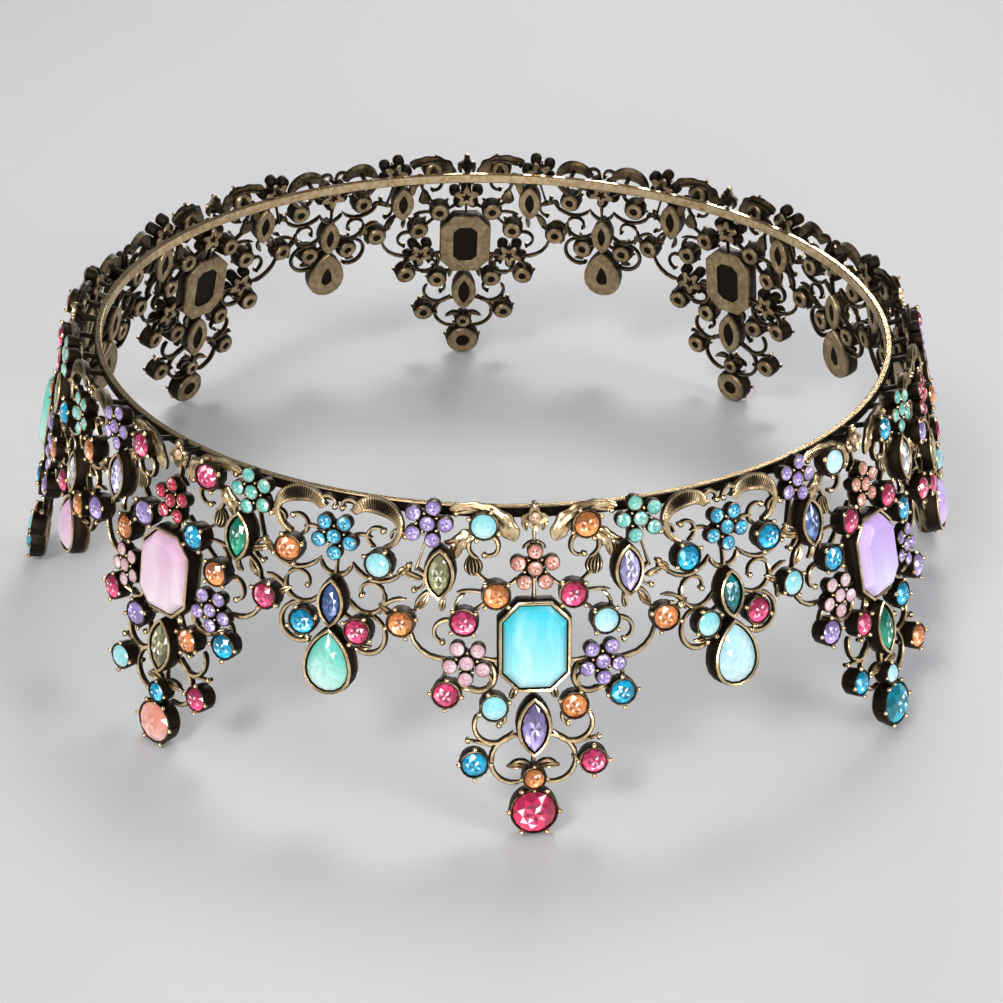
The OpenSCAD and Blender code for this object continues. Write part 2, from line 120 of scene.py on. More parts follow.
# Scrolls: arcs whose radius and width change evenly from the first end to the last
# columns: centre x, centre y, first radius, last radius, first angle, last angle,
#          first width, last width, ball at the last end
LARGE_MIDDLE_SCROLLS = [
    (6.4, -33.4, 3.5, 2.9, 205, 400, 1.0, 0.8, 0),
    (2.7, -39.9, 4.4, 3.8, 95, -104, 1.0, 0.8, 0),
    (5.9, -32.6, 1.7, 1.1, 95, 250, 0.8, 0.6, 1),
    (2.3, -41.5, 1.9, 1.4, 165, 25, 0.7, 0.9, 0),
    (0.0, -5.1, 1.9, 1.9, 90, 22, 0.6, 0.5, 0),
]
LARGE_SIDE_SCROLLS = [
    (7.6, -4.1, 2.3, 1.3, 60, 285, 1.0, 0.6, 1),
    (8.3, -4.0, 2.2, 2.1, 78, -75, 1.2, 0.6, 0),
    (9.6, -19.4, 8.0, 8.2, 108, 68, 0.7, 0.6, 0),
    (9.9, -14.2, 2.6, 2.6, 62, -20, 0.7, 0.6, 1),
    (15.6, -15.0, 3.4, 3.2, 98, -8, 0.8, 0.6, 0),
    (14.1, -18.7, 2.3, 1.6, 118, -72, 0.9, 0.6, 1),
    (14.2, -17.7, 5.6, 5.4, 5, -98, 0.6, 1.1, 0),
    (9.2, -25.4, 2.9, 2.6, 125, 305, 0.9, 1.2, 0),
    (8.3, -25.9, 1.5, 0.9, 250, 60, 0.7, 0.5, 1),
    (12.2, -26.6, 2.6, 2.4, 85, -5, 0.8, 0.7, 0),
    (19.2, -10.4, 2.3, 1.4, 100, 260, 0.6, 0.5, 1),
    (8.6, -10.4, 12.3, 12.2, 103, 70, 1.3, 0.8, 1),
]
SMALL_SCROLLS = [
    (0.0, -8.8, 2.5, 2.6, 268, 350, 1.1, 0.7, 0),
    (6.7, -3.8, 1.9, 1.4, 256, 55, 0.8, 0.6, 1),
    (4.2, -6.7, 2.9, 2.8, 60, 130, 0.7, 0.7, 0),
    (7.0, -6.1, 5.2, 4.8, 212, 325, 0.8, 0.9, 0),
    (5.7, -13.6, 3.6, 2.5, 205, 378, 0.9, 0.8, 0),
    (5.7, -13.6, 2.5, 1.2, 18, 195, 0.8, 0.5, 1),
    (11.6, -17.2, 4.0, 3.9, 172, 88, 0.7, 0.8, 0),
    (5.5, -20.6, 3.7, 2.9, 100, -118, 0.7, 1.1, 1),
    (1.7, 0.2, 1.5, 1.1, 20, 195, 1.0, 0.6, 1),
    (10.3, -3.2, 1.6, 0.9, 200, 20, 0.6, 0.4, 1),
]
# The broad ribbed horns that rise from a small plate to the band
# columns: centre x, centre y, first and last radius of the outer edge, first angle,
#          last angle, width at the first end, widest, width at the last end
HORNS = [(6.3, -1.75, 4.7, 4.4, 160, -72, 1.5, 2.9, 0.9)]

# Short straight wires
# columns: x and y of one end, x and y of the other, width
LARGE_MIDDLE_BARS = [
    (6.2, -39.6, 8.2, -39.6, 0.9), (2.6, -9.4, 4.4, -10.6, 0.9),
]
LARGE_STEMS = [
    (0, -1.2, 0, -4.6, 0.8), (0, -8.6, 0, -12.8, 0.9), (0, -26.4, 0, -29.8, 1.2),
    (0, -37, 0, -41, 1.0),
]
LARGE_SIDE_BARS = [
    (15.4, -2.2, 14.9, -5.2, 0.9), (16.8, -2.4, 18.6, -8.6, 0.6),
    (5.6, -22.8, 8.6, -22.8, 1.0), (18.0, -14.6, 19.6, -15.8, 0.8),
    (7.2, -12.4, 9.4, -14.6, 0.8), (9.4, -8.4, 7.0, -10.2, 0.8),
]
SMALL_BARS = [(1.2, -17.6, 3.6, -18.8, 0.9)]
SMALL_STEMS = [(0, -7.4, 0, -12.2, 0.9), (0, -18.6, 0, -21.2, 1.0)]

# Leaves: blades along a bending line, with lobes along their edges
# columns: x, y, first heading, bend over the whole length, length, width, lobes,
#          share of the length at which it is widest
LARGE_MIDDLE_LEAVES = [
    (2.6, -26.4, -62, -20, 3.2, 1.3, 1, 0.6), (1.2, -1.4, 62, 40, 2.4, 1.1, 1, 0.6),
    (1.0, -41.0, 28, -50, 3.4, 1.1, 1, 0.6),
]
LARGE_SIDE_LEAVES = [
    (13.2, 1.7, 152, 102, 12.6, 3.7, 5, 0.74), (9.7, -1.9, -14, -88, 5.6, 2.9, 3, 0.4),
    (14.4, -12.0, 262, 30, 3.2, 1.1, 1, 0.7), (16.6, -11.7, 278, 40, 3.8, 1.1, 1, 0.7),
    (10.2, -28.0, 12, 36, 3.4, 1.5, 2, 0.6), (14.2, -3.6, 190, -50, 2.6, 1.4, 1, 0.6),
    (12.2, -14.0, 200, 70, 2.6, 1.1, 1, 0.6),
]
SMALL_LEAVES = [
    (10.2, -9.8, 62, -20, 2.6, 1.3, 1, 0.6), (11.0, -8.6, -8, -14, 3.4, 1.3, 1, 0.6),
    (7.4, -14.8, -20, -30, 2.8, 1.3, 1, 0.6), (6.6, -22.3, 205, -60, 2.2, 1.1, 1, 0.6),
    (9.8, -16.2, 250, 40, 3.0, 1.2, 1, 0.6),
]
# Slender stalks that end in a ball: x, y, heading, length
LARGE_STALKS = [(6.6, -37.0, 14, 4.0)]
SMALL_STALKS = [(11.9, -8.6, 84, 1.2)]
# Fan-shaped shells: x and y of the foot, heading, length, width
SHELLS = [(10.0, -5.5, 262, 3.4, 3.0)]
# Posts that tie the ornaments to the band, by their x
LARGE_POSTS, SMALL_POSTS = [7.9, 16.6], [6.3]

# Colours of the stones, by the names used below: sRGB, and how milky the stone is
COLOURS = {
    "lagoon": (0.26, 0.76, 0.83, 1.0), "lilac": (0.74, 0.62, 0.88, 1.0),
    "blossom": (0.82, 0.66, 0.77, 1.0), "mint": (0.42, 0.77, 0.71, 1.0),
    "ice": (0.64, 0.82, 0.87, 1.0), "foam": (0.50, 0.79, 0.82, 1.0),
    "apricot": (0.90, 0.58, 0.50, 0.8), "blush": (0.81, 0.63, 0.68, 0.7),
    "rose": (0.90, 0.20, 0.40, 0.0), "pink": (0.91, 0.27, 0.48, 0.0),
    "orange": (0.95, 0.58, 0.32, 0.0), "peach": (0.92, 0.62, 0.54, 0.15),
    "crimson": (0.82, 0.18, 0.32, 0.0), "violet": (0.65, 0.54, 0.82, 0.25),
    "blue": (0.08, 0.69, 0.88, 0.0), "aqua": (0.08, 0.68, 0.78, 0.0),
    "sky": (0.22, 0.70, 0.86, 0.1), "teal": (0.02, 0.50, 0.52, 0.0),
    "navy": (0.26, 0.38, 0.60, 0.0), "emerald": (0.02, 0.56, 0.44, 0.0),
    "tanzanite": (0.64, 0.58, 0.80, 0.0), "lavender": (0.74, 0.70, 0.90, 0.0),
    "olive": (0.63, 0.62, 0.46, 0.0), "clear": (0.80, 0.82, 0.84, 0.0),
    "turquoise": (0.34, 0.72, 0.67, 0.65),
}
# Which colour each place has on the eight plates, from the front one round to the right;
# fewer words than eight go round again. The first row is for the left side of a plate.
PLATE_COLOURS = {
    "octagon": ["lagoon lilac mint blossom"],
    "drop_navette": ["tanzanite emerald olive navy tanzanite emerald navy olive"],
    "neck": ["orange ice pink orange blue pink orange blue"],
    "tip": ["rose aqua apricot rose aqua apricot aqua apricot"],
    "flank": ["orange pink blue violet orange pink pink violet",
              "pink pink orange blue pink violet orange blue"],
    "loop": ["foam pink violet orange foam blue pink violet",
             "orange blue pink blue orange pink blue orange"],
    "antenna": ["blue blue orange pink blue violet blue foam",
                "pink orange pink blue pink orange foam pink"],
    "top": ["foam ice pink blue foam pink orange pink",
            "orange blue violet pink orange blue pink pink"],
    "side": ["pink blue foam orange pink violet blue orange",
             "foam blue orange pink foam pink violet orange"],
    "border": ["orange foam pink blue orange pink foam violet",
               "orange pink violet orange blue pink orange pink"],
    "low": ["pink violet blue pink orange violet pink pink",
            "blue violet pink orange blue pink violet blue"],
    "side_navette": ["olive navy lavender teal olive navy clear lavender",
                     "lavender clear emerald lavender navy clear olive emerald"],
    "heart": ["peach peach crimson violet peach turquoise crimson crimson"],
    "crest": ["violet", "turquoise"],
    "spray": ["blush", "violet"],
    "upper": ["blue violet orange blue pink orange blue orange",
              "blue orange pink foam blue pink orange foam"],
    "under": ["foam pink blue pink foam blue pink blue",
              "pink foam orange blue pink foam orange pink"],
    "small_navette": ["teal olive navy emerald teal olive clear navy"],
    "pear": ["ice lilac mint blossom ice mint blossom mint"],
    "star": ["sky crimson turquoise sky violet sky turquoise sky"],
}

def colour_of(name, plate, side=1):
    """The colour row of a place on one plate, linear from sRGB, with the milkiness last."""
    words = PLATE_COLOURS[name][-1 if side > 0 else 0].split()
    *srgb, milk = COLOURS[words[plate % len(words)]]
    srgb = np.array(srgb)
    linear = np.where(srgb <= 0.04045, srgb / 12.92, ((srgb + 0.055) / 1.055) ** 2.4)
    return np.append(linear, milk)


# Shapes: points with faces, made as whole arrays

def polar(r, angle):
    """x and y at a distance r in the direction of an angle in degrees."""
    return r * np.cos(radians(angle)), r * np.sin(radians(angle))


class Shape:
    """Points and arrays of faces, a value and a colour for each face, a value of patina and
    painted shade for each point.
    """

    def __init__(self, points, faces, facet=None, tint=None, shade_and_patina=None):
        self.points = np.asarray(points, float).reshape(-1, 3)
        self.faces = faces
        count = sum(len(f) for f in faces)
        self.facet = np.full(count, 0.5) if facet is None else facet
        self.tint = np.ones((count, 4)) if tint is None else tint
        self.shade_and_patina = np.zeros(len(self.points)) if shade_and_patina is None else shade_and_patina

    def changed(self, **arrays):
        """The same shape with other points, values or colours."""
        return Shape(**{**vars(self), **arrays})

    def moved(self, x, y, lift=0.0, turn=0.0):
        """Turned by turn degrees about its own middle, then moved."""
        c, s = polar(1, turn)
        px, py, pz = self.points.T
        return self.changed(
            points=np.stack((px * c - py * s + x, px * s + py * c + y, pz + lift), 1))

    def tinted(self, colour):
        """The same shape with one colour on all its faces."""
        return self.changed(tint=np.broadcast_to(colour, (len(self.facet), 4)))


def joined(shapes):
    """One shape of many: face indices are moved on by the points that come before."""
    offsets = np.cumsum([0] + [len(s.points) for s in shapes[:-1]])
    arrays = {name: np.concatenate([getattr(s, name) for s in shapes])
              for name in ("points", "facet", "tint", "shade_and_patina")}
    return Shape(faces=[f + o for s, o in zip(shapes, offsets) for f in s.faces], **arrays)


def closed_grid(rings):
    """Skin over a stack of closed rings, shape (rows, columns, 3), with a flat face at each end.

    Each quad joins two neighbours of a ring to the same two of the next ring. Rings that run
    anticlockwise as seen from the last one give faces that point outwards.
    """
    rows, columns = rings.shape[:2]
    i, j = np.meshgrid(np.arange(rows - 1), np.arange(columns), indexing="ij")
    k = (j + 1) % columns
    quads = np.stack((i * columns + j, i * columns + k, (i + 1) * columns + k,
                      (i + 1) * columns + j), -1).reshape(-1, 4)
    first = np.arange(columns)[::-1][None]
    last = (np.arange(columns) + (rows - 1) * columns)[None]
    return Shape(rings, [quads, first, last])


def stacked(outlines, lifts, shade_and_patina=0.0):
    """A closed grid of flat outlines, each at its own lift and with its own value of patina and
    painted shade.
    """
    shape = closed_grid(np.stack([np.column_stack((outline, np.full(len(outline), lift)))
                                  for outline, lift in zip(outlines, lifts)]))
    shape.shade_and_patina = np.repeat(np.broadcast_to(shade_and_patina, len(lifts)), len(outlines[0]))
    return shape


def fill_mesh(name, shape, smooth):
    """A mesh object from a shape: corners in one run, with the start of each face in it."""
    corners = np.concatenate([f.ravel() for f in shape.faces]).astype(np.int32)
    sizes = np.concatenate([np.full(len(f), f.shape[1]) for f in shape.faces])
    starts = np.concatenate(([0], np.cumsum(sizes)[:-1])).astype(np.int32)
    mesh = bpy.data.meshes.new(name)
    mesh.vertices.add(len(shape.points))
    mesh.vertices.foreach_set("co", shape.points.astype(np.float32).ravel())
    mesh.loops.add(len(corners))
    mesh.loops.foreach_set("vertex_index", corners)
    mesh.polygons.add(len(starts))
    mesh.polygons.foreach_set("loop_start", starts)
    mesh.polygons.foreach_set("use_smooth", np.full(len(starts), smooth))
    mesh.update(calc_edges=True)
    mesh.validate()
    # The per-point value paints patina and shade on the metal, and light on the stones.
    for label, kind, domain, field, values in (
            ("tint", "FLOAT_COLOR", "FACE", "color", shape.tint),
            ("facet", "FLOAT", "FACE", "value", shape.facet),
            ("shade_and_patina", "FLOAT", "POINT", "value", shape.shade_and_patina)):
        layer = mesh.attributes.new(label, kind, domain)
        layer.data.foreach_set(field, values.astype(np.float32).ravel())
    if smooth:
        mesh.set_sharp_from_angle(angle=radians(SHARP_ANGLE))
    piece = bpy.data.objects.new(name, mesh)
    bpy.context.scene.collection.objects.link(piece)
    return piece


# The wall of ornament

def lean(angle):
    """Lean of the panel at an angle: the flare, with more on one diagonal than the other."""
    return radians(FLARE + OVAL_LEAN * np.sin(2 * radians(angle)))


TIP_CUP_R = TIP_D / 2 + FIT + CUP_WALL
RIM_Z = ((TIP_CUP_R - TIP_AT[1]) * np.cos(radians(FLARE - OVAL_LEAN))
         - BACK * np.sin(radians(FLARE - OVAL_LEAN)))


def panel_x(x, y, turn):
    """x on a panel turned from its plate: less the arc between them at that height of the wall."""
    return x - radians(turn) * (BAND_R + STONE_REACH - y * np.sin(radians(FLARE)))


def panel_path(x, y, run_x, run_y, side, turn):
    """Points by their distances from a place, all given for the right side of a panel."""
    return np.stack((panel_x(side * x, y, side * turn) + side * run_x, y + run_y), 1)


def on_panel(shape, angle):
    """Plate coordinates to metres: leaned back about X, moved out to the wall, turned about Z."""
    tilt = np.pi / 2 - lean(angle)
    a = radians(angle)
    x, y, lift = shape.points.T
    back = y * np.cos(tilt) - lift * np.sin(tilt) - BAND_R - STONE_REACH
    up = y * np.sin(tilt) + lift * np.cos(tilt) + RIM_Z
    points = np.stack((x * np.cos(a) - back * np.sin(a), x * np.sin(a) + back * np.cos(a), up), 1)
    return shape.changed(points=points * MM)


def on_plate(shape, plate, x, y, side=1, turn=0, first=0):
    """One shape in the ring, moved to a place given for the right side of a plate."""
    return on_panel(shape.moved(panel_x(side * x, y, side * turn), y),
                    plate * PITCH + first + side * turn)


def around(panels, first=0.0):
    """The shapes of a plate, keyed by the turn of their panel, repeated on all eight plates."""
    return [on_panel(joined(shapes), i * PITCH + first + turn)
            for i in range(PLATES) for turn, shapes in panels.items()]


def around_small(shapes):
    """The shapes of a small plate, which is a single panel, repeated on all eight."""
    return around({0: shapes}, HALF_PITCH)


# Outlines, all anticlockwise, each grown by grow

def circle_outline(r, count):
    """Points at even angles round a circle, the first one half a step on from x."""
    a = 2 * np.pi * (np.arange(count) + 0.5) / count
    return r * np.stack((np.cos(a), np.sin(a)), 1)


def lobed_outline(scale, r, swell, lobes, first=0.0):
    """A circle swelled by a cosine of lobes times the angle, which starts at first."""
    a = 2 * np.pi * np.arange(LOBED_POINTS) / LOBED_POINTS
    ray = scale * (r + swell * np.cos(lobes * (a - first)))
    return np.stack((ray * np.cos(a), ray * np.sin(a)), 1)


def octagon_outline(grow):
    """A rectangle with cut corners: sides move out by grow, and the cuts by the same distance."""
    w, h = OCTAGON_W / 2 + grow, OCTAGON_H / 2 + grow
    c = OCTAGON_CUT + grow * (2 - np.sqrt(2))
    return np.array([(w, -h + c), (w, h - c), (w - c, h), (-w + c, h),
                     (-w, h - c), (-w, -h + c), (-w + c, -h), (w - c, -h)])


def right_arc(w, h, grow, first):
    """The right one of two arcs that meet at points h apart and lie w apart in the middle.

    Its points stand at even angles from a share of its lower half, first, up to its top end.
    Its radius comes from the chord h and the rise w / 2, and grow is added to it.
    """
    r = (h * h + w * w) / (4 * w)
    offset = r - w / 2
    half = np.arccos(offset / (r + grow))
    a = np.linspace(first * half, half, ARC_POINTS)
    return np.stack(((r + grow) * np.cos(a) - offset, (r + grow) * np.sin(a)), 1)


def navette_outline(size, grow):
    """A boat shape: the right arc and then the left one."""
    right = right_arc(*size, grow, -1)[:-1]
    return np.concatenate((right, -right))


def pear_outline(grow):
    """A half circle for the foot, under two arcs that leave it upright and meet at the point."""
    right = right_arc(PEAR_W, 2 * PEAR_H - PEAR_W, grow, 0)
    right[-1, 0] = 0
    left = right[-2:0:-1] * (-1, 1)
    b = np.linspace(np.pi, 2 * np.pi, ARC_POINTS)[:-1]
    under = (PEAR_W / 2 + grow) * np.stack((np.cos(b), np.sin(b)), 1)
    return np.concatenate((right, left, under)) + (0, (PEAR_W - PEAR_H) / 2)


# Settings

def setting(outline, profile):
    """A stack of one outline, given the value of each row of (value, lift, darkness of patina and
    painted shade).
    """
    values, lifts, shade_and_patina = zip(*profile)
    return stacked([outline(value) for value in values], lifts, shade_and_patina)


def dished(dish, lip, rows):
    """A setting's profile: a dish in the back, the rows given, and the floor under the stone."""
    # Third column: painted shade on the back and in the dish, and patina with painted shade on the
    # floor under the stone.
    return [(-dish - 0.2, BACK + 0.35, 0.8), (-dish, BACK + 0.04, 0.3),
            (-dish + lip, BACK, 0.26), *rows, (FIT, BACK + FLOOR_T, 1.0)]


def bezel_profile(dish):
    """Out from the dish, up the wall to a step, over a rounded rim and down inside."""
    outer, rim = FIT + BEZEL_WALL, BEZEL_RIM
    # Painted shade on the outer wall, the rim left bright, and patina with painted shade down
    # inside.
    return dished(dish, 0.2, [
        (outer - 0.2, BACK, 0.3), (outer, BACK + 0.3, 0.4), (outer, rim - 1.15, 0.85),
        (outer - 0.14, rim - 0.95, 0.9), (outer - 0.14, rim - 0.35, 0.6),
        (outer - 0.18, rim - 0.1, 0.0), (outer - 0.34, rim, 0.0), (FIT + 0.1, rim - 0.06, 0.0),
        (FIT, rim - 0.3, 1.0)])


def round_cup(d, count):
    """The same for a round stone's thin cup, drawn in a little towards its back."""
    outer, rim = FIT + CUP_WALL, CUP_RIM
    # Painted shade on the outer wall, a lighter rim, and patina with painted shade down inside.
    return setting(lambda grow: circle_outline(d / 2 + grow, count), dished(CUP_DISH * d, 0.15, [
        (outer - 0.6, BACK, 0.3), (outer - 0.1, BACK + 0.6, 0.6), (outer, rim - 0.5, 0.85),
        (outer - 0.05, rim - 0.05, 0.5), (FIT + 0.1, rim, 0.42), (FIT, rim - 0.4, 1.0)]))


def prong(r, foot, tuck=0.0):
    """A post that swells to a ball: rings of radii r times a row of shares at chosen lifts.

    Below the ball the rings move back along x, by tuck at the foot.
    """
    shares = np.array([0.62, 0.62, 0.7, 0.98, 1.0, 0.8, 0.3])
    lifts = np.array([foot, -0.9 * r, -0.35 * r, 0.1 * r, 0.5 * r, 1.0 * r, 1.32 * r])
    back = tuck * np.clip(lifts / lifts[0], 0, 1) ** 0.5
    # Painted shade darkens the post towards its foot; the top of the ball is left bright.
    return stacked([circle_outline(r * s, PRONG_SIDES) - (b, 0) for s, b in zip(shares, back)],
                   lifts, np.clip(0.3 - lifts / (1.2 * r), 0, 0.9))


def prongs(d, r, count, first, out):
    """Prongs at even angles round a stone, out beyond its edge by out."""
    claw = prong(r, BACK + 0.9, out - 0.2)
    return [claw.moved(*polar(d / 2 + out, a), 0, a)
            for a in first + 360 / count * np.arange(count)]


def round_settings(rows):
    """Cups and prongs of the round stones in a table, keyed by the turn of their panel."""
    cups, claws = {}, {}
    for name, x, y, panel, spin in rows:
        for side in LEFT_RIGHT:
            turn = side * panel
            at = panel_x(side * x, y, turn), y
            cups.setdefault(turn, []).append(round_cup(ROUND_D, ROUND_SIDES).moved(*at))
            claws.setdefault(turn, []).extend(
                claw.moved(*at) for claw in prongs(ROUND_D, ROUND_PRONG_R, 4, 45 + side * spin,
                                                   ROUND_PRONG_OUT))
    return cups, claws


def petal_places(turn):
    """x, y and lift of a flower's middle, which stands a little higher, and of its five petals."""
    return [(0, 0, 0.12)] + [(*polar(PETAL_RING, turn + 90 + 72 * i), 0) for i in range(5)]


def flower_cups(turn):
    """A middle cup and five petal cups on a plate of five lobes, with a bead in each gap."""
    outer = PETAL_D / 2
    # Third columns: painted shade on the cups' walls and the back plate, lighter rims, and patina
    # with painted shade down inside the cups.
    cup = setting(lambda grow: circle_outline(outer + grow, 11), [
        (-0.5, -2.3, 0.6), (-0.08, -1.8, 0.8), (0, -0.6, 0.8), (-0.04, -0.24, 0.4),
        (-0.1, -0.14, 0.3), (-0.18, -0.22, 0.5), (-0.2, -0.6, 1.0), (-0.2, -1.5, 1.0)])
    back = setting(lambda share: lobed_outline(share, 2.2, 0.7, 5, radians(turn + 90)), [
        (0.3, BACK + 0.3, 0.7), (0.4, BACK + 0.03, 0.4), (0.46, BACK, 0.26), (0.9, BACK, 0.3),
        (1, BACK + 0.2, 0.4), (1, -2.2, 0.7), (0.92, -2.0, 0.9)])
    bead = prong(0.27, -1.6)
    beads = [bead.moved(*polar(1.72, turn + 126 + 72 * i), -0.35) for i in range(5)]
    return [cup.moved(*place) for place in petal_places(turn)] + beads + [back]


# Wires and leaves: each maker takes a row given for the right side and returns a list of parts

def made(make, rows, turn=0, sides=LEFT_RIGHT):
    """The parts that a maker builds of each row of a table, on each side of a plate."""
    return [part for side in sides for row in rows for part in make(row, side, turn)]


def left_normals(path):
    """The path's direction, from neighbouring points, turned a quarter turn to the left."""
    tangent = np.gradient(path, axis=0)
    tangent /= np.linalg.norm(tangent, axis=1)[:, None] + 1e-12
    return np.stack((-tangent[:, 1], tangent[:, 0]), 1)


def sweep(path, width, thick, lift):
    """An ellipse carried along a path in the plate.

    Its width lies along the path's left-hand normal and its thickness along lift. Painted
    shade darkens its flanks most and its back less, and its front is left bright.
    """
    thick, lift = (np.broadcast_to(value, len(path))[:, None] for value in (thick, lift))
    normal = left_normals(path)
    a = 2 * np.pi * (np.arange(WIRE_SIDES) + 0.5) / WIRE_SIDES
    xy = path[:, None] + normal[:, None] * (np.cos(a) * 0.5 * width[:, None])[..., None]
    z = lift + np.sin(a) * 0.5 * thick
    shape = closed_grid(np.concatenate((xy, z[..., None]), 2))
    # Painted shade: darkest on the flanks, lighter on the back, none on the front.
    shade_and_patina_dark = np.interp(np.sin(a), [-1, -0.6, 0, 0.6, 0.9], [0.35, 0.8, 1, 0.75, 0])
    shape.shade_and_patina = np.tile(shade_and_patina_dark, len(path))
    return shape


def blade(path, width, front, shade_and_patina_dark, lift, thick=0.5):
    """A blade along a path, from a grid of front heights and one of patina and painted shade.

    Rows of the grids follow the path, and columns run from its left edge to its right one.
    The back is nearly as wide, lies flat at thick behind the lift, and carries a middling painted
    shade.
    """
    lift = np.broadcast_to(lift, len(path))[:, None]
    normal = left_normals(path)[:, None]
    ends = np.linspace(0.5, -0.5, front.shape[1]), np.linspace(-0.38, 0.38, BACK_POINTS)
    heights = lift + front, np.repeat(lift - thick, BACK_POINTS, 1)
    shape = closed_grid(np.concatenate([
        np.dstack((path[:, None] + normal * (across * width[:, None])[..., None], z))
        for across, z in zip(ends, heights)], 1))
    # The back carries a middling painted shade.
    shape.shade_and_patina = np.concatenate((shade_and_patina_dark, np.full((len(path), BACK_POINTS), 0.45)), 1).ravel()
    return shape


def ball_end(path, lift):
    """A ball for the last end of a wire."""
    return prong(BALL_R, -0.7).moved(*path[-1], lift + BALL_LIFT)


def scroll(row, side, turn):
    """An arc of changing radius and width, with a ball at its end if the row says so.

    It rises in the middle by a sine of the way along it, and the first and last step taper.
    """
    x, y, r0, r1, a0, a1, w0, w1, ball = row
    t = np.linspace(0, 1, max(7, int(abs(a1 - a0) / SCROLL_STEP)))
    a = np.radians(a0 + (a1 - a0) * t)
    r = r0 + (r1 - r0) * t
    path = panel_path(x, y, r * np.cos(a), r * np.sin(a), side, turn)
    width = w0 + (w1 - w0) * t
    width[[0, -1]] *= 0.35
    wire = sweep(path, width, 1.25 * (0.55 + 0.45 * width / max(w0, w1)),
                 SCROLL_LIFT + 0.25 * np.sin(np.pi * t))
    return [wire, ball_end(path, SCROLL_LIFT)] if ball else [wire]


def horn(row, side, turn):
    """A crescent along an arc: its outer edge keeps the radius, and its inner edge swells in.

    The width goes evenly from its first value to its last, and a power of a sine over the
    first seven tenths of the way swells it to its widest. The front is dished between raised
    edges, and a cosine of the way along it makes the fine ribs.
    """
    x, y, r0, r1, a0, a1, w0, w_most, w1 = row
    t = np.linspace(0, 1, 4 * HORN_RIBS + 1)
    s = np.linspace(-1, 1, 9)
    swell = np.sin(np.pi * np.clip(t / 0.7, 0, 1)) ** 1.2
    width = w0 + (w1 - w0) * t + (w_most - (w0 + w1) / 2) * swell
    width *= np.clip(np.minimum(t, 1 - t) * 40, 0.2, 1)
    r = r0 + (r1 - r0) * t - width / 2
    a = np.radians(a0 + (a1 - a0) * t)
    path = panel_path(x, y, r * np.cos(a), r * np.sin(a), side, turn)
    ribs = np.cos(2 * np.pi * HORN_RIBS * t)[:, None] * (1 - s ** 4)
    ribs *= np.clip(swell, 0.15, 1)[:, None]
    crown = 0.4 * (1 - swell)[:, None] * np.sqrt(1 - s * s)
    front = 0.42 * np.abs(s) ** 7 + 0.09 * ribs + crown
    front[:, [0, -1]] -= 0.3
    # Painted shade and patina in the dish and between the ribs, lighter on the raised edges and
    # rib crests; the side walls carry painted shade.
    shade_and_patina_dark = np.clip(0.62 - 0.14 * ribs - 1.2 * np.abs(s) ** 5 - 1.4 * crown, 0, 0.9)
    shade_and_patina_dark[:, [0, -1]] = 0.5
    return [blade(path, width, front, shade_and_patina_dark, -1.75, 1.0)]


def bar(row, side, turn):
    """A straight wire between two places of a panel, a cosine thinner in the middle."""
    x0, y0, x1, y1, w = row
    t = np.linspace(0, 1, 5)
    path = panel_path((x0 + x1) / 2, (y0 + y1) / 2, (x1 - x0) * (t - 0.5),
                      (y1 - y0) * (t - 0.5), side, turn)
    return [sweep(path, w * (0.8 + 0.2 * np.cos(2 * np.pi * t)), 1.2, -2.3)]


def leaf(row, side, turn):
    """A lobed blade along a line that bends evenly.

    Its width is a sine of a power of the length, so that it is widest where the row says,
    pinched between lobes. A vein stands along its middle between fine strands, and furrows
    lean back from the pinches to the vein, as a cosine of the length and of the distance
    from the vein. They fade where the leaf is narrow.
    """
    x, y, heading, bend, length, w, lobes, widest = row
    t = np.linspace(0, 1, 5 * lobes + 6)
    s = np.linspace(-1, 1, 13)
    a = np.radians(heading + bend * t)
    run = np.cumsum(np.stack((np.cos(a), np.sin(a)), 1), 0) * length / (len(t) - 1)
    path = panel_path(x, y, *(run - run[0]).T, side, turn)
    pinch, furrow = (0.1, 1) if lobes > 1 else (0, 0.3)
    slow = t ** (np.log(0.5) / np.log(widest))
    full = np.clip(np.sin(np.pi * (0.94 * slow + 0.04)), 0.05, 1) ** 0.75
    width = w * (0.16 + 0.84 * full) * (1 - pinch * (1 + np.cos(2 * np.pi * lobes * t)))
    width[[0, -1]] *= 0.5
    beat = np.cos(2 * np.pi * (lobes * t[:, None] - 0.5 * np.abs(s)))
    beat *= np.clip(1.6 * full - 0.7, 0, 1)[:, None] * furrow
    vein = np.exp(-(s / 0.2) ** 2)
    strands = np.cos(3 * np.pi * s)
    front = (0.42 * np.sqrt(1 - 0.98 * s * s) + 0.14 * vein + 0.07 * beat
             + 0.05 * strands) * full[:, None]
    # Painted shade and patina in the furrows and between the strands, none on the vein; the side
    # walls carry painted shade.
    shade_and_patina_dark = np.clip(-0.02 - 0.34 * beat - 0.14 * strands, 0, 0.9) * (1 - vein)
    shade_and_patina_dark[:, [0, -1]] = 0.8
    return [blade(path, width, front, shade_and_patina_dark, -1.7 + 0.4 * np.sin(np.pi * t) - 0.3 * t)]


def stalk(row, side, turn):
    """A short wire that narrows to a ball."""
    x, y, heading, length = row
    t = np.linspace(0, 1, 6)
    path = panel_path(x, y, *polar(length * t, heading), side, turn)
    return [sweep(path, 0.9 - 0.4 * t, 1.0, -2.0), ball_end(path, -2.0)]


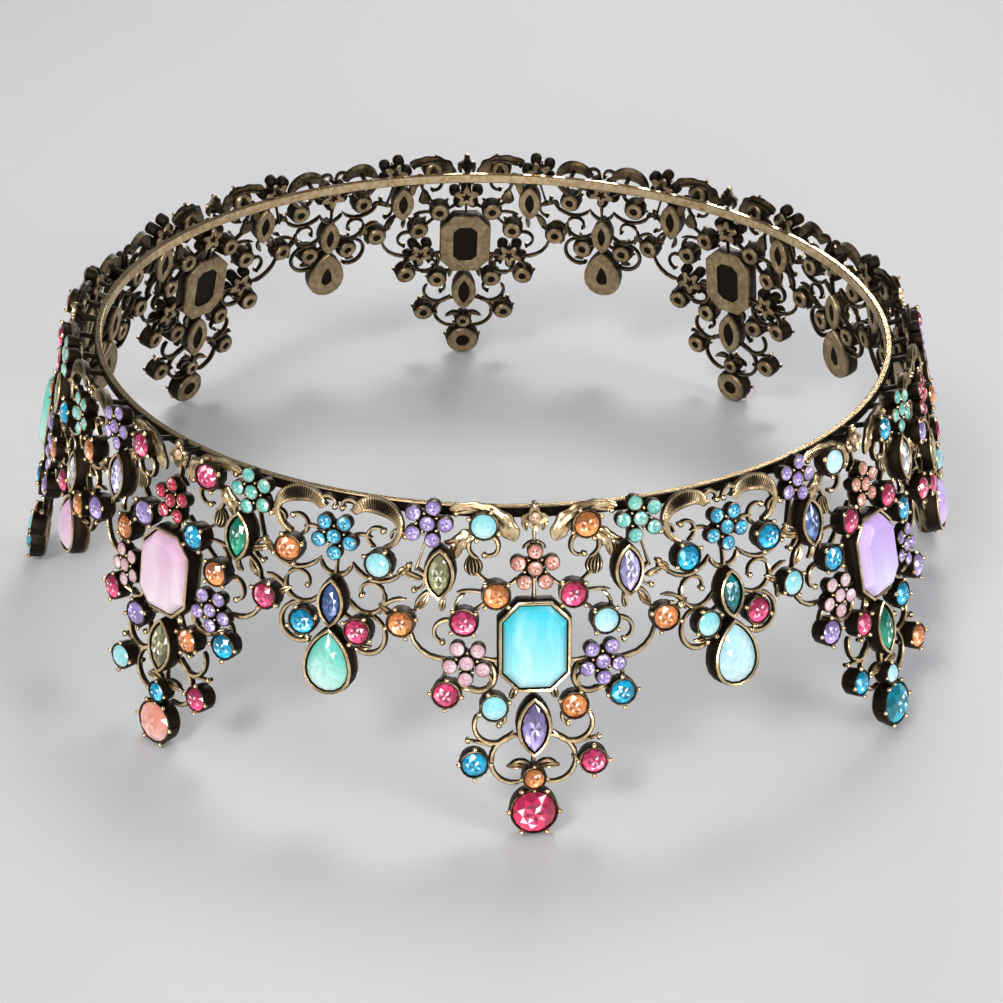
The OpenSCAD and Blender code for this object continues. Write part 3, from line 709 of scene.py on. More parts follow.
def shell(row, side, turn):
    """A fan: the width grows as a sine and ends round, and ribs spread from the foot.

    The ribs are a cosine of the place across, so that they stay an even share of the width.
    """
    x, y, heading, length, w = row
    t = np.linspace(0, 1, 14)
    s = np.linspace(-1, 1, 21)
    path = panel_path(x, y, *polar(length * t, heading), side, turn)
    round_end = np.sqrt(np.clip(1 - (np.clip(t - 0.62, 0, 1) / 0.4) ** 2, 0.01, 1))
    width = w * (0.3 + 0.7 * np.sin(np.pi / 2 * np.clip(t / 0.62, 0, 1))) * round_end
    ribs = np.abs(np.cos(2.5 * np.pi * s))
    front = 0.4 * np.sqrt(1 - 0.98 * s * s) * round_end[:, None] + 0.22 * ribs
    # Painted shade and patina between the ribs, lighter on their crests; the side walls carry
    # painted shade.
    shade_and_patina_dark = np.broadcast_to(0.85 - 0.75 * ribs ** 2, front.shape).copy()
    shade_and_patina_dark[:, [0, -1]] = 0.9
    return [blade(path, width, front, shade_and_patina_dark, -2.1 - 0.5 * np.sin(np.pi * t), 0.4)]


def post(x, side, turn):
    """A round post from the ornament in to the band, from rows of radius, height and lift."""
    rows = [(0.7, 0.35, DEEP + 0.35), (0.5, 0.4, -5.0), (0.5, 0.6, -3.0), (0.65, 0.8, -2.0)]
    at = panel_x(side * x, 0, side * turn)
    # The posts are painted dark with shade, as they stand between the ornaments and the band.
    return [stacked([circle_outline(r, 8) + (at, height) for r, height, lift in rows],
                    [lift for r, height, lift in rows], 0.8)]


# Stones

def brilliant(outline, w, rng, crown=None):
    """A brilliant cut on an outline of twice m points.

    The table has m corners, on every other ray of the outline, and a ring of m points between
    them makes the stars, kites and halves of the crown. The table is cut by a smaller ring of
    m points into flat slices, each with its own painted brightness for the facets under it that
    show through. Every facet carries painted light, and the stone is painted brighter to its foot.
    """
    n = len(outline)
    m = n // 2
    high = CROWN * w if crown is None else crown
    deep = min(PAVILION * w, PAVILION_MOST)
    k = np.arange(m)
    points = np.concatenate([
        np.column_stack((outline, np.zeros(n))),
        np.column_stack((STAR_RING * outline[1::2], np.full(m, 0.62 * high))),
        np.column_stack((TABLE_RING * outline[0::2], np.full(m, high))),
        np.column_stack((SLICE_RING * outline[1::2], np.full(m, high))),
        [(0, 0, high), (0, 0, -deep)]])
    mid, table, inner, top, culet = n, n + m, n + 2 * m, n + 3 * m, n + 3 * m + 1
    after, before = (k + 1) % m, (k - 1) % m
    # Painted light: one side of the crown is painted as if it caught the light,
    # and the slices of the table are painted to flash by turns.
    glint = 0.5 + 0.5 * np.cos(2 * np.pi * k / m - rng.uniform(0, 6.3))
    # columns: corners of the faces, their values, how far these stray at random
    facets = [
        ((table + k, mid + k, table + after), 0.45 + 0.45 * glint, 0.2),
        ((table + k, mid + before, 2 * k, mid + k), 0.3 + 0.45 * glint, 0.2),
        ((mid + k, 2 * k, 2 * k + 1), 0.15 + 0.5 * glint, 0.2),
        ((mid + k, 2 * k + 1, (2 * k + 2) % n), 0.1 + 0.5 * glint, 0.25),
        ((table + k, table + after, inner + k), 0.2 + 0.4 * glint, 0.3),
        ((inner + before, table + k, inner + k), np.where(k % 2, 0.85, 0.15), 0.2),
        ((np.full(m, top), inner + k, inner + after), np.where(k % 2, 0.2, 0.75), 0.25)]
    under = np.stack((np.full(n, culet), (np.arange(n) + 1) % n, np.arange(n)), 1)
    values = [value + rng.uniform(-stray, stray, m) for corners, value, stray in facets]
    return Shape(points, [np.stack(corners, 1) for corners, value, stray in facets] + [under],
                 np.clip(np.concatenate(values + [np.full(n, 0.2)]), 0, 1),
                 # Painted light: brighter towards the foot.
                 shade_and_patina=np.clip(0.1 - points[:, 1] / np.ptp(outline[:, 1]), 0, 1))


def stepped(outline, w, rng):
    """A step cut: the outline at six sizes, from a keel ring up to a wide table."""
    sizes = (0.25, 0.7, 1.0, 0.94, 0.86, 0.77)
    shape = stacked([outline * share for share in sizes],
                    (-2.3, -1.4, 0.0, 0.5 * CROWN * w, 0.84 * CROWN * w, CROWN * w))
    # Painted light and shade on the faces of each step, the same on every step.
    light = np.tile([0.45, 0.75, 0.9, 0.7, 0.4, 0.3, 0.25, 0.35], len(sizes) - 1)
    light += rng.uniform(-0.1, 0.1, len(light))
    shape.facet = np.concatenate((light, [0.2], [0.55]))
    # Painted light: brighter towards the foot.
    shape.shade_and_patina = np.clip(0.15 - shape.points[:, 1] / np.ptp(outline[:, 1]), 0, 1)
    return shape


def gem_round(d, count, rng, crown=None):
    """A brilliant on a circle."""
    return brilliant(circle_outline(d / 2, count), d, rng, crown)


def navette_gem(size, gap, rng):
    """A brilliant on a navette's outline, drawn in by gap."""
    return brilliant(navette_outline(size, -gap), size[0], rng)


# Materials

def feed(tree, node, values):
    """Sets a node's inputs, by number or name, to plain values or to other nodes' outputs."""
    for key, value in values.items():
        if isinstance(value, bpy.types.NodeSocket):
            tree.links.new(value, node.inputs[key])
        else:
            node.inputs[key].default_value = value
    return node


def add_node(tree, kind, values=None, **settings):
    """A new shader node with its settings and its inputs."""
    node = tree.nodes.new("ShaderNode" + kind)
    for label, value in settings.items():
        setattr(node, label, value)
    return feed(tree, node, values or {})


def new_group(name, inputs, outputs):
    """A shader node group with named sockets, and its input and output nodes."""
    group = bpy.data.node_groups.new(name, "ShaderNodeTree")
    for label, kind, value in inputs:
        socket = group.interface.new_socket(label, in_out="INPUT", socket_type=kind)
        socket.default_value = value
    for label, kind in outputs:
        group.interface.new_socket(label, in_out="OUTPUT", socket_type=kind)
    return group, group.nodes.new("NodeGroupInput").outputs, group.nodes.new("NodeGroupOutput")


def math_node(tree, operation, a, b, clamp=False):
    """The output of a Math node on two values."""
    return add_node(tree, "Math", {0: a, 1: b}, operation=operation, use_clamp=clamp).outputs[0]


def arithmetic(tree):
    """Three functions that add, subtract and multiply in a tree, with a Math node each time."""
    return [partial(math_node, tree, name) for name in ("ADD", "SUBTRACT", "MULTIPLY")]


def mix_node(tree, factor, a, b):
    """The colour between a and b, by a factor from 0 to 1."""
    return add_node(tree, "Mix", {0: factor, 6: a, 7: b}, data_type="RGBA").outputs[2]


def scaled_colour(tree, colour, share):
    """A colour brightened or darkened by a share."""
    return add_node(tree, "VectorMath", {0: colour, "Scale": share}, operation="SCALE").outputs[0]


def attribute(tree, name):
    """The outputs of a mesh attribute's node."""
    return add_node(tree, "Attribute", attribute_name=name).outputs


def noise(tree, scale, detail, roughness=0.55, stretch=(1, 1, 1)):
    """Noise on Object coordinates, whose scale counts patches to the metre."""
    place = add_node(tree, "TexCoord").outputs["Object"]
    if stretch != (1, 1, 1):
        place = add_node(tree, "Mapping", {"Vector": place, "Scale": stretch}).outputs[0]
    return add_node(tree, "TexNoise", {"Vector": place, "Scale": scale, "Detail": detail,
                                       "Roughness": roughness}).outputs["Fac"]


def patina_and_shade_group():
    """Old gold: bright where it is bare, darkened by patina in hollows, painted shade on flanks
    and backs, and grime.
    """
    group, given, end = new_group(
        "patina_and_shade",
        [("Bright", "NodeSocketColor", (0.8, 0.6, 0.3, 1)),
         ("Warm", "NodeSocketColor", (0.5, 0.3, 0.12, 1)),
         ("Dark", "NodeSocketColor", (0.02, 0.015, 0.01, 1)), ("Grime", "NodeSocketFloat", 0.5),
         ("Polish", "NodeSocketFloat", 0.25)],
        [("Color", "NodeSocketColor"), ("Roughness", "NodeSocketFloat"),
         ("Height", "NodeSocketFloat")])
    add, less, times = arithmetic(group)
    shade_and_patina = attribute(group, "shade_and_patina")["Fac"]
    stains = noise(group, 300.0, 4.0, 0.65)
    specks = noise(group, 900.0, 2.0)
    lifted = times(less(stains, 0.44), 2.4)
    # Patina in hollows and painted shade on flanks, undersides and backs, with random grime on
    # top.
    shade_patina_and_grime = add(times(shade_and_patina, 1.8), times(lifted, given["Grime"]), clamp=True)
    worn = times(less(specks, 0.36, clamp=True), 2.4)
    tone = mix_node(group, worn, given["Bright"], given["Warm"])
    rough = add(given["Polish"], times(shade_patina_and_grime, 0.35))
    feed(group, end, {"Color": mix_node(group, shade_patina_and_grime, tone, given["Dark"]), "Height": specks,
                      "Roughness": add(rough, times(specks, 0.12))})
    return group


def fire_group():
    """Cut stone: the tint with painted light and shade facet by facet, or clouded where it is
    milky.

    A crystal is painted brighter towards its foot, where its per-point value is high, as if lit
    through from above, and a milky one is whiter there. Its clouds are drawn out upwards.
    """
    group, given, end = new_group(
        "fire",
        [("Contrast", "NodeSocketFloat", 1.5), ("Cloud", "NodeSocketFloat", 0.5),
         ("Cloud Scale", "NodeSocketFloat", 220.0)],
        [("Color", "NodeSocketColor"), ("Glow", "NodeSocketColor"),
         ("Roughness", "NodeSocketFloat")])
    add, less, times = arithmetic(group)
    tint = attribute(group, "tint")
    facet = attribute(group, "facet")["Fac"]
    foot = attribute(group, "shade_and_patina")["Fac"]
    clouds = noise(group, given["Cloud Scale"], 3.0, stretch=(1, 1, 0.12))
    cloud = times(less(clouds, 0.46, clamp=True), times(given["Cloud"], 3.0), clamp=True)
    # Painted light: the facets' values and the foot brighten the tint.
    lit = times(math_node(group, "POWER", facet, 1.8), add(0.6, times(foot, 1.3)))
    shade = add(0.17, times(lit, given["Contrast"]))
    crystal = scaled_colour(group, tint["Color"], shade)
    # Painted highlight: the brightest facets turn white.
    flash = mix_node(group, times(less(facet, 0.78, clamp=True), 3.0), crystal, (1, 1, 1, 1))
    white = add(times(cloud, 0.7), times(foot, 0.65), clamp=True)
    milk = mix_node(group, white, tint["Color"], (0.9, 0.95, 0.93, 1))
    opal = scaled_colour(group, milk, add(0.70, times(facet, 0.18)))
    colour = mix_node(group, tint["Alpha"], flash, opal)
    feed(group, end, {"Color": colour, "Glow": colour,
                      "Roughness": add(0.04, times(clouds, 0.14))})
    return group


def shared_group(name, maker):
    """A node group by name, made the first time that it is asked for."""
    return bpy.data.node_groups.get(name) or maker()


def new_material(name):
    """A material with its node tree and its Principled shader."""
    material = bpy.data.materials.new(name)
    material.use_nodes = True
    return material, material.node_tree, material.node_tree.nodes["Principled BSDF"]


def metal(context, name, polish, grime):
    """Metal whose colour, with its patina and painted shade, its roughness and fine bumps come
    from the shared group.
    """
    look = context.scene.diadem_metal
    material, tree, shader = new_material("metal_" + name)
    node = add_node(tree, "Group", node_tree=shared_group("patina_and_shade", patina_and_shade_group))
    feed(tree, node, {"Bright": (*look.bright, 1), "Warm": (*look.warm, 1),
                      "Dark": (*look.shade_and_patina_dark, 1), "Grime": look.grime + grime,
                      "Polish": look.polish + polish})
    bump = add_node(tree, "Bump", {"Strength": 0.12, "Distance": 0.0002,
                                   "Height": node.outputs["Height"]})
    feed(tree, shader, {"Base Color": node.outputs["Color"], "Metallic": 1.0,
                        "Roughness": node.outputs["Roughness"],
                        "Normal": bump.outputs["Normal"]})
    return material


def stone(context, name, cloud_scale=220.0):
    """Cut stone with a clear polished surface over the fire group's colours, also sent out as a
    painted glow.
    """
    look = context.scene.diadem_stones
    material, tree, shader = new_material("cut_" + name)
    node = add_node(tree, "Group", node_tree=shared_group("fire", fire_group))
    feed(tree, node, {"Contrast": 1.5, "Cloud": 0.5 * look.cloud, "Cloud Scale": cloud_scale})
    feed(tree, shader, {"Base Color": node.outputs["Color"],
                        "Roughness": node.outputs["Roughness"],
                        # Painted glow: the colours are emitted as if the stones sent light back
                        # from inside.
                        "Emission Color": node.outputs["Glow"], "Emission Strength": look.glow,
                        "IOR": look.ior, "Coat Weight": 0.25, "Coat Roughness": 0.03})
    return material


def finish_piece(name, shapes, material, nodes, smooth=False):
    """Puts shapes in the scene as a piece that rides with the frame and stands for its nodes."""
    if not shapes:
        raise RuntimeError("no shapes were made for " + name)
    piece = fill_mesh(name, joined(shapes), smooth)
    piece.data.materials.append(material)
    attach(piece, "root")
    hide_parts(*nodes)
    return piece


def metal_piece(context, name, shapes, polish=0.0, grime=0.0):
    """A piece of the soldered metal, with its own share of polish and grime."""
    material = metal(context, name, polish, grime)
    return finish_piece(name, shapes, material, ["frame"], True)


# What a user may change

class DiademMetal(bpy.types.PropertyGroup):
    # The gold's own colour, which shows where no patina and no painted shade lie: on edges, rims
    # and fronts left bright as if lit.
    bright: bpy.props.FloatVectorProperty(
        name="Bright gold", description="Colour of the worn edges", subtype="COLOR", size=3,
        min=0, max=1, default=(1.0, 0.79, 0.48))
    warm: bpy.props.FloatVectorProperty(
        name="Warm gold", description="Colour of the specks in the gold", subtype="COLOR",
        size=3, min=0, max=1, default=(0.60, 0.36, 0.14))
    # The colour of the patina in hollows and of the painted shade on flanks, undersides and backs.
    shade_and_patina_dark: bpy.props.FloatVectorProperty(
        name="Patina", description="Colour of the recesses", subtype="COLOR", size=3,
        min=0, max=1, default=(0.022, 0.016, 0.011))
    polish: bpy.props.FloatProperty(
        name="Polish", description="Roughness of the bright metal", subtype="FACTOR",
        min=0, max=1, default=0.16)
    grime: bpy.props.FloatProperty(
        name="Grime", description="How much dark wash lies on the metal", subtype="FACTOR",
        min=0, max=1, default=0.45)


class DiademStones(bpy.types.PropertyGroup):
    # The strength of the painted glow that the stones emit.
    glow: bpy.props.FloatProperty(
        name="Glow", description="Light that the stones send back from inside",
        subtype="FACTOR", min=0, max=1, default=0.16)
    ior: bpy.props.FloatProperty(
        name="Refraction", description="Index of refraction of the stones", min=1, max=2.5,
        default=1.7)
    cloud: bpy.props.FloatProperty(
        name="Cloud", description="Strength of the white clouds in the opals",
        subtype="FACTOR", min=0, max=2, default=1.0)


class DiademStage(bpy.types.PropertyGroup):
    lens: bpy.props.FloatProperty(
        name="Lens", description="Focal length on a 36 mm wide picture", unit="CAMERA",
        default=67.84)
    place: bpy.props.FloatVectorProperty(
        name="Camera place", description="From the middle of the band's top edge",
        subtype="TRANSLATION", size=3, unit="LENGTH", default=(-0.0282, -0.3255, 0.1467))
    azimuth: bpy.props.FloatProperty(
        name="Azimuth", description="Turn of the view about Z, from looking along +Y",
        subtype="ANGLE", default=radians(-5.32))
    elevation: bpy.props.FloatProperty(
        name="Elevation", description="Height of the view above level", subtype="ANGLE",
        default=radians(29.97))
    roll: bpy.props.FloatProperty(
        name="Roll", description="Turn of the picture", subtype="ANGLE", default=radians(1.21))
    floor: bpy.props.FloatVectorProperty(
        name="Floor", description="Colour of the floor", subtype="COLOR", size=3, min=0, max=1,
        default=(0.48, 0.48, 0.49))


# Pieces

class DIADEM_OT_band(bpy.types.Operator):
    """The flat band: a rectangle with rounded corners carried round a circle"""
    bl_idname = "diadem.band"
    bl_label = "Band"

    def execute(self, context):
        edge, count = 0.2, 256
        outer, inner, top, low = BAND_R, BAND_R - BAND_T, RIM_Z, RIM_Z - BAND_H
        # columns: distance from the middle, height, painted shade, which darkens the underside and
        # the outer face and leaves the top and the inner face bright
        r, z, shade_and_patina_dark = np.array([
            (inner, low + edge, 0.1), (inner + edge, low, 0.5), (outer - edge, low, 0.8),
            (outer, low + edge, 0.8), (outer, top - edge, 0.6), (outer - edge, top, 0.0),
            (inner + edge, top, 0.0), (inner, top - edge, 0.05)]).T
        a = 2 * np.pi * np.arange(count)[:, None] / count
        points = np.stack(np.broadcast_arrays(r * np.cos(a), r * np.sin(a), z), -1) * MM
        n = len(r)
        i, j = np.meshgrid(np.arange(count), np.arange(n), indexing="ij")
        k, m = (i + 1) % count, (j + 1) % n
        quads = np.stack((i * n + j, k * n + j, k * n + m, i * n + m), -1).reshape(-1, 4)
        ring = Shape(points, [quads], shade_and_patina=np.tile(shade_and_patina_dark, count))
        metal_piece(context, "band", [ring], polish=-0.02, grime=-0.3)
        return {"FINISHED"}


class DIADEM_OT_scrolls(bpy.types.Operator):
    """The scroll wires, bars and posts of all the plates"""
    bl_idname = "diadem.scrolls"
    bl_label = "Scrolls"

    def execute(self, context):
        panels = {0: made(scroll, LARGE_MIDDLE_SCROLLS) + made(bar, LARGE_MIDDLE_BARS)
                  + made(bar, LARGE_STEMS, sides=[1]) + made(stalk, LARGE_STALKS)}
        for side in LEFT_RIGHT:
            panels[side * SIDE_TURN] = [
                part for maker, rows in ((scroll, LARGE_SIDE_SCROLLS), (bar, LARGE_SIDE_BARS),
                                         (post, LARGE_POSTS))
                for part in made(maker, rows, SIDE_TURN, [side])]
        metal_piece(context, "large_scrolls", around(panels))
        small = (made(scroll, SMALL_SCROLLS) + made(bar, SMALL_BARS)
                 + made(bar, SMALL_STEMS, sides=[1]) + made(post, SMALL_POSTS)
                 + made(stalk, SMALL_STALKS))
        metal_piece(context, "small_scrolls", around_small(small))
        return {"FINISHED"}


class DIADEM_OT_leaves(bpy.types.Operator):
    """The leaves and shells of all the plates and the ribbed horns of the small ones"""
    bl_idname = "diadem.leaves"
    bl_label = "Leaves and horns"

    def execute(self, context):
        panels = {0: made(leaf, LARGE_MIDDLE_LEAVES)}
        for side in LEFT_RIGHT:
            panels[side * SIDE_TURN] = (made(leaf, LARGE_SIDE_LEAVES, SIDE_TURN, [side])
                                        + made(shell, SHELLS, SIDE_TURN, [side]))
        for name, shapes in (("large_leaves", around(panels)),
                             ("small_leaves", around_small(made(leaf, SMALL_LEAVES))),
                             ("horns", around_small(made(horn, HORNS)))):
            metal_piece(context, name, shapes, grime=-0.1)
        return {"FINISHED"}


class DIADEM_OT_bezels(bpy.types.Operator):
    """Raised bezels round the octagons, navettes and pears"""
    bl_idname = "diadem.bezels"
    bl_label = "Bezels"

    def execute(self, context):
        def navette(size):
            return setting(lambda grow: navette_outline(size, grow), bezel_profile(0.7))

        wide = bezel_profile(2.2)
        panels = {0: [setting(octagon_outline, wide).moved(*OCTAGON_AT),
                      navette(DROP_NAVETTE).moved(*DROP_NAVETTE_AT)]}
        x, y = SIDE_NAVETTE_AT
        for side in LEFT_RIGHT:
            turn = side * SIDE_TURN
            panels[turn] = [navette(SIDE_NAVETTE).moved(panel_x(side * x, y, turn), y)]
        small = [navette(SMALL_NAVETTE).moved(*SMALL_NAVETTE_AT),
                 setting(pear_outline, wide).moved(*PEAR_AT)]
        metal_piece(context, "bezels", around(panels) + around_small(small), grime=-0.15)
        return {"FINISHED"}


class DIADEM_OT_cups(bpy.types.Operator):
    """Cups and ball prongs of the round stones"""
    bl_idname = "diadem.cups"
    bl_label = "Cups and prongs"

    def execute(self, context):
        cups, claws = round_settings(LARGE_ROUNDS)
        small_cups, small_claws = round_settings(SMALL_ROUNDS)
        # columns: width and place of the stone, sides of the cup, then its prongs:
        #          radius, how many, how far out
        for d, at, sides, r, count, out in ((NECK_D, NECK_AT, ROUND_SIDES, 0.34, 4, 0.5),
                                            (TIP_D, TIP_AT, 24, 0.44, 6, 0.6)):
            cups[0].append(round_cup(d, sides).moved(*at))
            claws[0] += [claw.moved(*at) for claw in prongs(d, r, count, 0, out)]
        metal_piece(context, "cups", around(cups) + around(small_cups, HALF_PITCH))
        metal_piece(context, "prongs", around(claws) + around(small_claws, HALF_PITCH),
                    grime=-0.25)
        return {"FINISHED"}


class DIADEM_OT_flowers(bpy.types.Operator):
    """Flowers of six small cups, with their stones"""
    bl_idname = "diadem.flowers"
    bl_label = "Flowers"

    def execute(self, context):
        rng = np.random.default_rng(PETAL_SEED)
        cuts = [gem_round(PETAL_STONE_D, 12, rng) for i in range(4)]
        metals, stones = [], []
        rows = [(MIDDLE_FLOWER, 1, 0), (SMALL_FLOWER, 1, HALF_PITCH)]
        rows += [(row, side, 0) for row in SIDE_FLOWERS for side in LEFT_RIGHT]
        for plate in range(PLATES):
            for (name, x, y, turn, spin), side, first in rows:
                gems = [cuts[(i + plate) % 4].moved(px, py, lift - PETAL_SINK, 31 * i)
                        for i, (px, py, lift) in enumerate(petal_places(side * spin))]
                gems = joined(gems).tinted(colour_of(name, plate, side))
                for shapes, shape in ((metals, joined(flower_cups(side * spin))),
                                      (stones, gems)):
                    shapes.append(on_plate(shape, plate, x, y, side, turn, first))
        metal_piece(context, "flower_cups", metals, grime=-0.1)
        finish_piece("flower_stones", stones, stone(context, "flower"), ["frame"])
        return {"FINISHED"}


class DIADEM_OT_buds(bpy.types.Operator):
    """Star cups of four lobes with a small stone and a ball, at the top of each large plate"""
    bl_idname = "diadem.buds"
    bl_label = "Buds"

    def execute(self, context):
        # Third column: painted shade on the back and walls, a bright rim, and patina with painted
        # shade inside.
        bud = setting(lambda r: lobed_outline(r, 1, 0.24, 4), [
            (0.4, -6.2, 0.8), (0.5, -4.6, 0.8), (0.75, -3.0, 0.8), (1.4, -2.0, 0.7),
            (1.75, -1.3, 0.1), (1.65, -1.0, 0), (0.85, -1.25, 0.5), (0.8, -1.8, 0.8)])
        ball = prong(0.7, -1.4)
        metal_piece(context, "buds", around({0: [bud.moved(*BUD_AT), ball.moved(0, 2.7, -1.5)]}))
        gem = gem_round(1.9, 12, np.random.default_rng(BUD_SEED)).moved(*BUD_AT, -1.15)
        finish_piece("bud_gems", around({0: [gem.tinted(BUD_COLOUR)]}), stone(context, "bud"),
                     ["frame"])
        return {"FINISHED"}


class DIADEM_OT_main_stones(bpy.types.Operator):
    """The octagons, pears and upright navettes, and the stones at the tips"""
    bl_idname = "diadem.main_stones"
    bl_label = "Main stones"

    def execute(self, context):
        rng = np.random.default_rng(MAIN_SEED)
        # columns: name, node, record's slot, place, first angle, cloud scale, how it is cut
        for name, node, slot, at, first, cloud_scale, make in (
                ("octagon", "octagon", "octagon_stone", OCTAGON_AT, 0, 260.0,
                 lambda: stepped(octagon_outline(-OCTAGON_GAP), OCTAGON_W, rng)),
                ("pear", "pear", "pear_stone", PEAR_AT, HALF_PITCH, 260.0,
                 lambda: brilliant(pear_outline(-PEAR_GAP), PEAR_W, rng)),
                ("drop_navette", "drop_navette", "drop_navette_stone", DROP_NAVETTE_AT, 0, 400.0,
                 lambda: navette_gem(DROP_NAVETTE, DROP_GAP, rng)),
                ("tip", "tip_stone", "tip_gem", TIP_AT, 0, 400.0,
                 lambda: gem_round(TIP_D, 16, rng, TIP_CROWN))):
            material = stone(context, name, cloud_scale)
            for i in range(PLATES):
                gem = on_plate(make().tinted(colour_of(name, i)), i, *at, first=first)
                finish_piece(name + "_gem_" + str(i + 1), [gem], material,
                             [node + "_" + str(i + 1)])
        return {"FINISHED"}


class DIADEM_OT_small_stones(bpy.types.Operator):
    """The stones above the tips, the side and small navettes, and the round stones"""
    bl_idname = "diadem.small_stones"
    bl_label = "Small stones"

    def execute(self, context):
        rng = np.random.default_rng(SMALL_SEED)
        cuts = [gem_round(ROUND_D, 16, rng) for i in range(6)]
        # columns: node, record's slot, shapes
        fields = {"neck": ("neck_stones", "neck_stone", []),
                  "side_navette": ("side_navettes", "side_navette_stone", []),
                  "small_navette": ("small_navettes", "small_navette_stone", []),
                  "upper_round": ("upper_rounds", "round_stone", []),
                  "lower_round": ("lower_rounds", "round_stone", [])}

        def add(field, name, gem, plate, x, y, side=1, turn=0, first=0):
            fields[field][-1].append(on_plate(gem.tinted(colour_of(name, plate, side)),
                                              plate, x, y, side, turn, first))

        for i in range(PLATES):
            add("neck", "neck", gem_round(NECK_D, 12, rng), i, *NECK_AT)
            add("small_navette", "small_navette", navette_gem(SMALL_NAVETTE, NAVETTE_GAP, rng), i,
                *SMALL_NAVETTE_AT, first=HALF_PITCH)
            for side in LEFT_RIGHT:
                add("side_navette", "side_navette", navette_gem(SIDE_NAVETTE, NAVETTE_GAP, rng), i,
                    *SIDE_NAVETTE_AT, side, SIDE_TURN)
                for rows, first in ((LARGE_ROUNDS, 0), (SMALL_ROUNDS, HALF_PITCH)):
                    for name, x, y, turn, spin in rows:
                        add("upper_round" if name in UPPER_ROUNDS else "lower_round", name,
                            cuts[rng.integers(len(cuts))], i, x, y, side, turn, first)
        for name, (node, slot, shapes) in fields.items():
            finish_piece(name + "_gems", shapes, stone(context, name), [node])
        return {"FINISHED"}


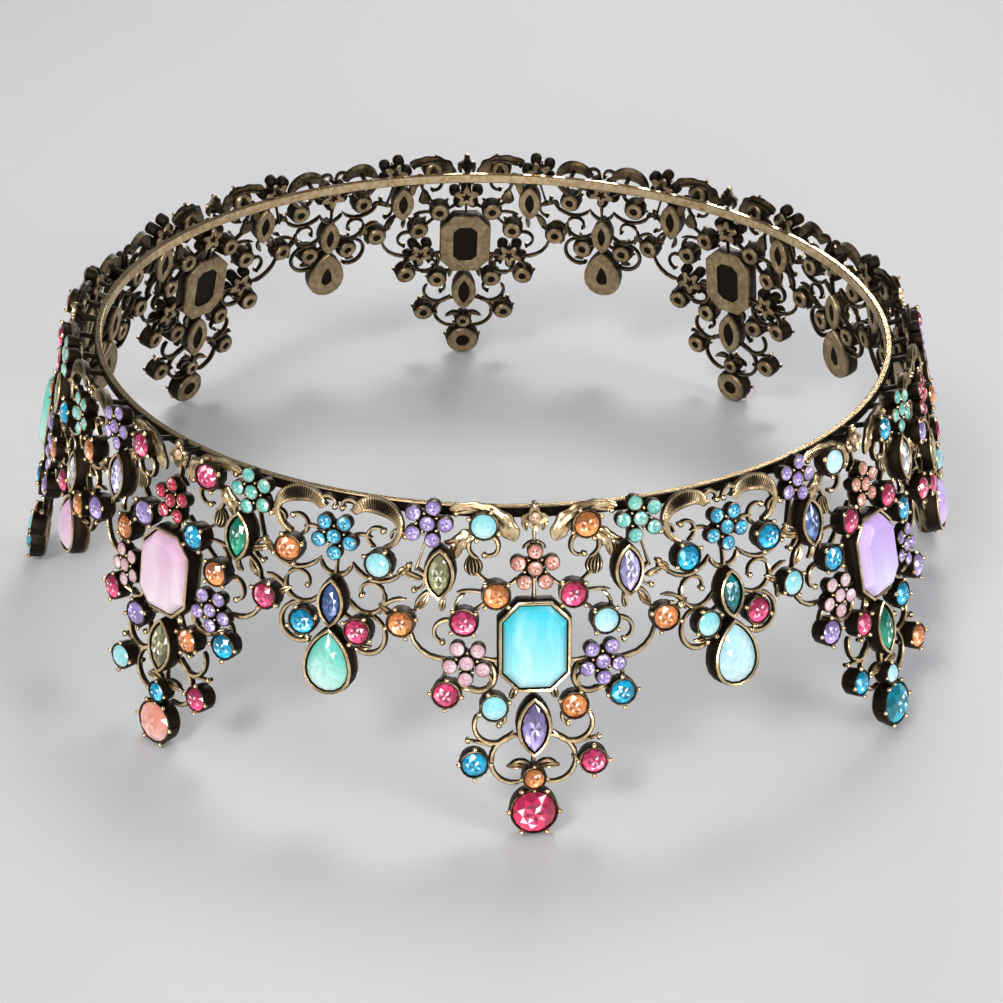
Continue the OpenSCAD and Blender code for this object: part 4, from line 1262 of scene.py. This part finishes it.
class DIADEM_OT_stage(bpy.types.Operator):
    """Plain floor, soft studio lights and the camera at the photograph's angle"""
    bl_idname = "diadem.stage"
    bl_label = "Stage"

    def execute(self, context):
        scene = context.scene
        look = scene.diadem_stage
        corners = 64
        ring = np.column_stack((circle_outline(FLOOR_R, corners), np.zeros(corners)))
        floor = fill_mesh("floor", Shape(ring, [np.arange(corners)[None]]), False)
        material, tree, shader = new_material("floor_paper")
        paler, darker = (*look.floor, 1), (*(0.97 * c for c in look.floor), 1)
        feed(tree, shader, {"Roughness": 0.9, "Base Color": mix_node(
            tree, noise(tree, 900.0, 2.0), paler, darker)})
        floor.data.materials.append(material)

        world = bpy.data.worlds.new("studio")
        world.use_nodes = True
        tree = world.node_tree
        less, times = arithmetic(tree)[1:]
        # Reflections see a darker studio than the floor does, so that the gold keeps its depth.
        glossy = add_node(tree, "LightPath").outputs["Is Glossy Ray"]
        feed(tree, tree.nodes["Background"], {"Color": (0.92, 0.95, 1, 1),
                                              "Strength": less(0.5, times(glossy, 0.38))})
        scene.world = world
        scene.view_settings.view_transform = "Standard"
        # columns: name, place, size, power, spread in degrees, colour
        for name, place, size, power, spread, colour in (
                ("key", (-0.45, -0.7, 0.8), 0.25, 6, 180, (1, 0.97, 0.92)),
                ("fill", (0.75, -0.55, 0.4), 0.25, 3.5, 180, (0.94, 0.97, 1)),
                ("rim", (0.15, 0.55, 1.0), 0.35, 5.5, 180, (1, 0.98, 0.95)),
                ("low", (-0.15, -1.5, 0.34), 0.5, 0.9, 40, (1, 0.99, 0.97)),
                ("back", (0.3, 1.4, 0.4), 0.4, 0.45, 40, (1, 0.99, 0.97))):
            light = bpy.data.lights.new(name, "AREA")
            light.size, light.energy, light.color = size, power, colour
            light.spread = radians(spread)
            lamp = bpy.data.objects.new(name, light)
            lamp.location = place
            aim = Vector(LAMPS_AIM) - Vector(place)
            lamp.rotation_euler = aim.to_track_quat("-Z", "Y").to_euler()
            scene.collection.objects.link(lamp)

        az, el, roll = look.azimuth, look.elevation, look.roll
        back = np.array((np.sin(az) * np.cos(el), -np.cos(az) * np.cos(el), np.sin(el)))
        right = np.cross(-back, (0, 0, 1))
        right /= np.linalg.norm(right)
        up = np.cross(back, right)
        camera = bpy.data.objects.new("camera", bpy.data.cameras.new("camera"))
        camera.data.sensor_width = SENSOR
        camera.data.sensor_fit = "HORIZONTAL"
        camera.data.lens = look.lens
        camera.data.clip_start = 0.01
        pose = np.eye(4)
        pose[:3] = np.stack((np.cos(roll) * right + np.sin(roll) * up,
                             np.cos(roll) * up - np.sin(roll) * right,
                             back, np.array(look.place) + (0, 0, RIM_Z * MM)), 1)
        camera.matrix_world = Matrix(pose.tolist())
        scene.collection.objects.link(camera)
        scene.camera = camera
        return {"FINISHED"}


PIECES = (DIADEM_OT_band, DIADEM_OT_scrolls, DIADEM_OT_leaves, DIADEM_OT_bezels, DIADEM_OT_cups,
          DIADEM_OT_flowers, DIADEM_OT_buds, DIADEM_OT_main_stones, DIADEM_OT_small_stones,
          DIADEM_OT_stage)
SETTINGS = {"diadem_metal": DiademMetal, "diadem_stones": DiademStones,
            "diadem_stage": DiademStage}


class DIADEM_PT_panel(bpy.types.Panel):
    """Lists the diadem's pieces and its stage"""
    bl_idname = "DIADEM_PT_panel"
    bl_label = "Openwork Diadem"
    bl_space_type = "VIEW_3D"
    bl_region_type = "UI"
    bl_category = "Diadem"

    def draw(self, context):
        for piece in PIECES:
            self.layout.operator(piece.bl_idname)
        for label, group in SETTINGS.items():
            box = self.layout.box()
            for name in group.__annotations__:
                box.prop(getattr(context.scene, label), name)


def register():
    for group in SETTINGS.values():
        bpy.utils.register_class(group)
    for label, group in SETTINGS.items():
        setattr(bpy.types.Scene, label, bpy.props.PointerProperty(type=group))
    for piece in PIECES:
        bpy.utils.register_class(piece)
    bpy.utils.register_class(DIADEM_PT_panel)


def unregister():
    bpy.utils.unregister_class(DIADEM_PT_panel)
    for piece in reversed(PIECES):
        bpy.utils.unregister_class(piece)
    for label, group in SETTINGS.items():
        delattr(bpy.types.Scene, label)
        bpy.utils.unregister_class(group)


def main():
    register()
    for piece in PIECES:
        package, call = piece.bl_idname.split(".")
        getattr(getattr(bpy.ops, package), call)()


if __name__ == "__main__":
    main()
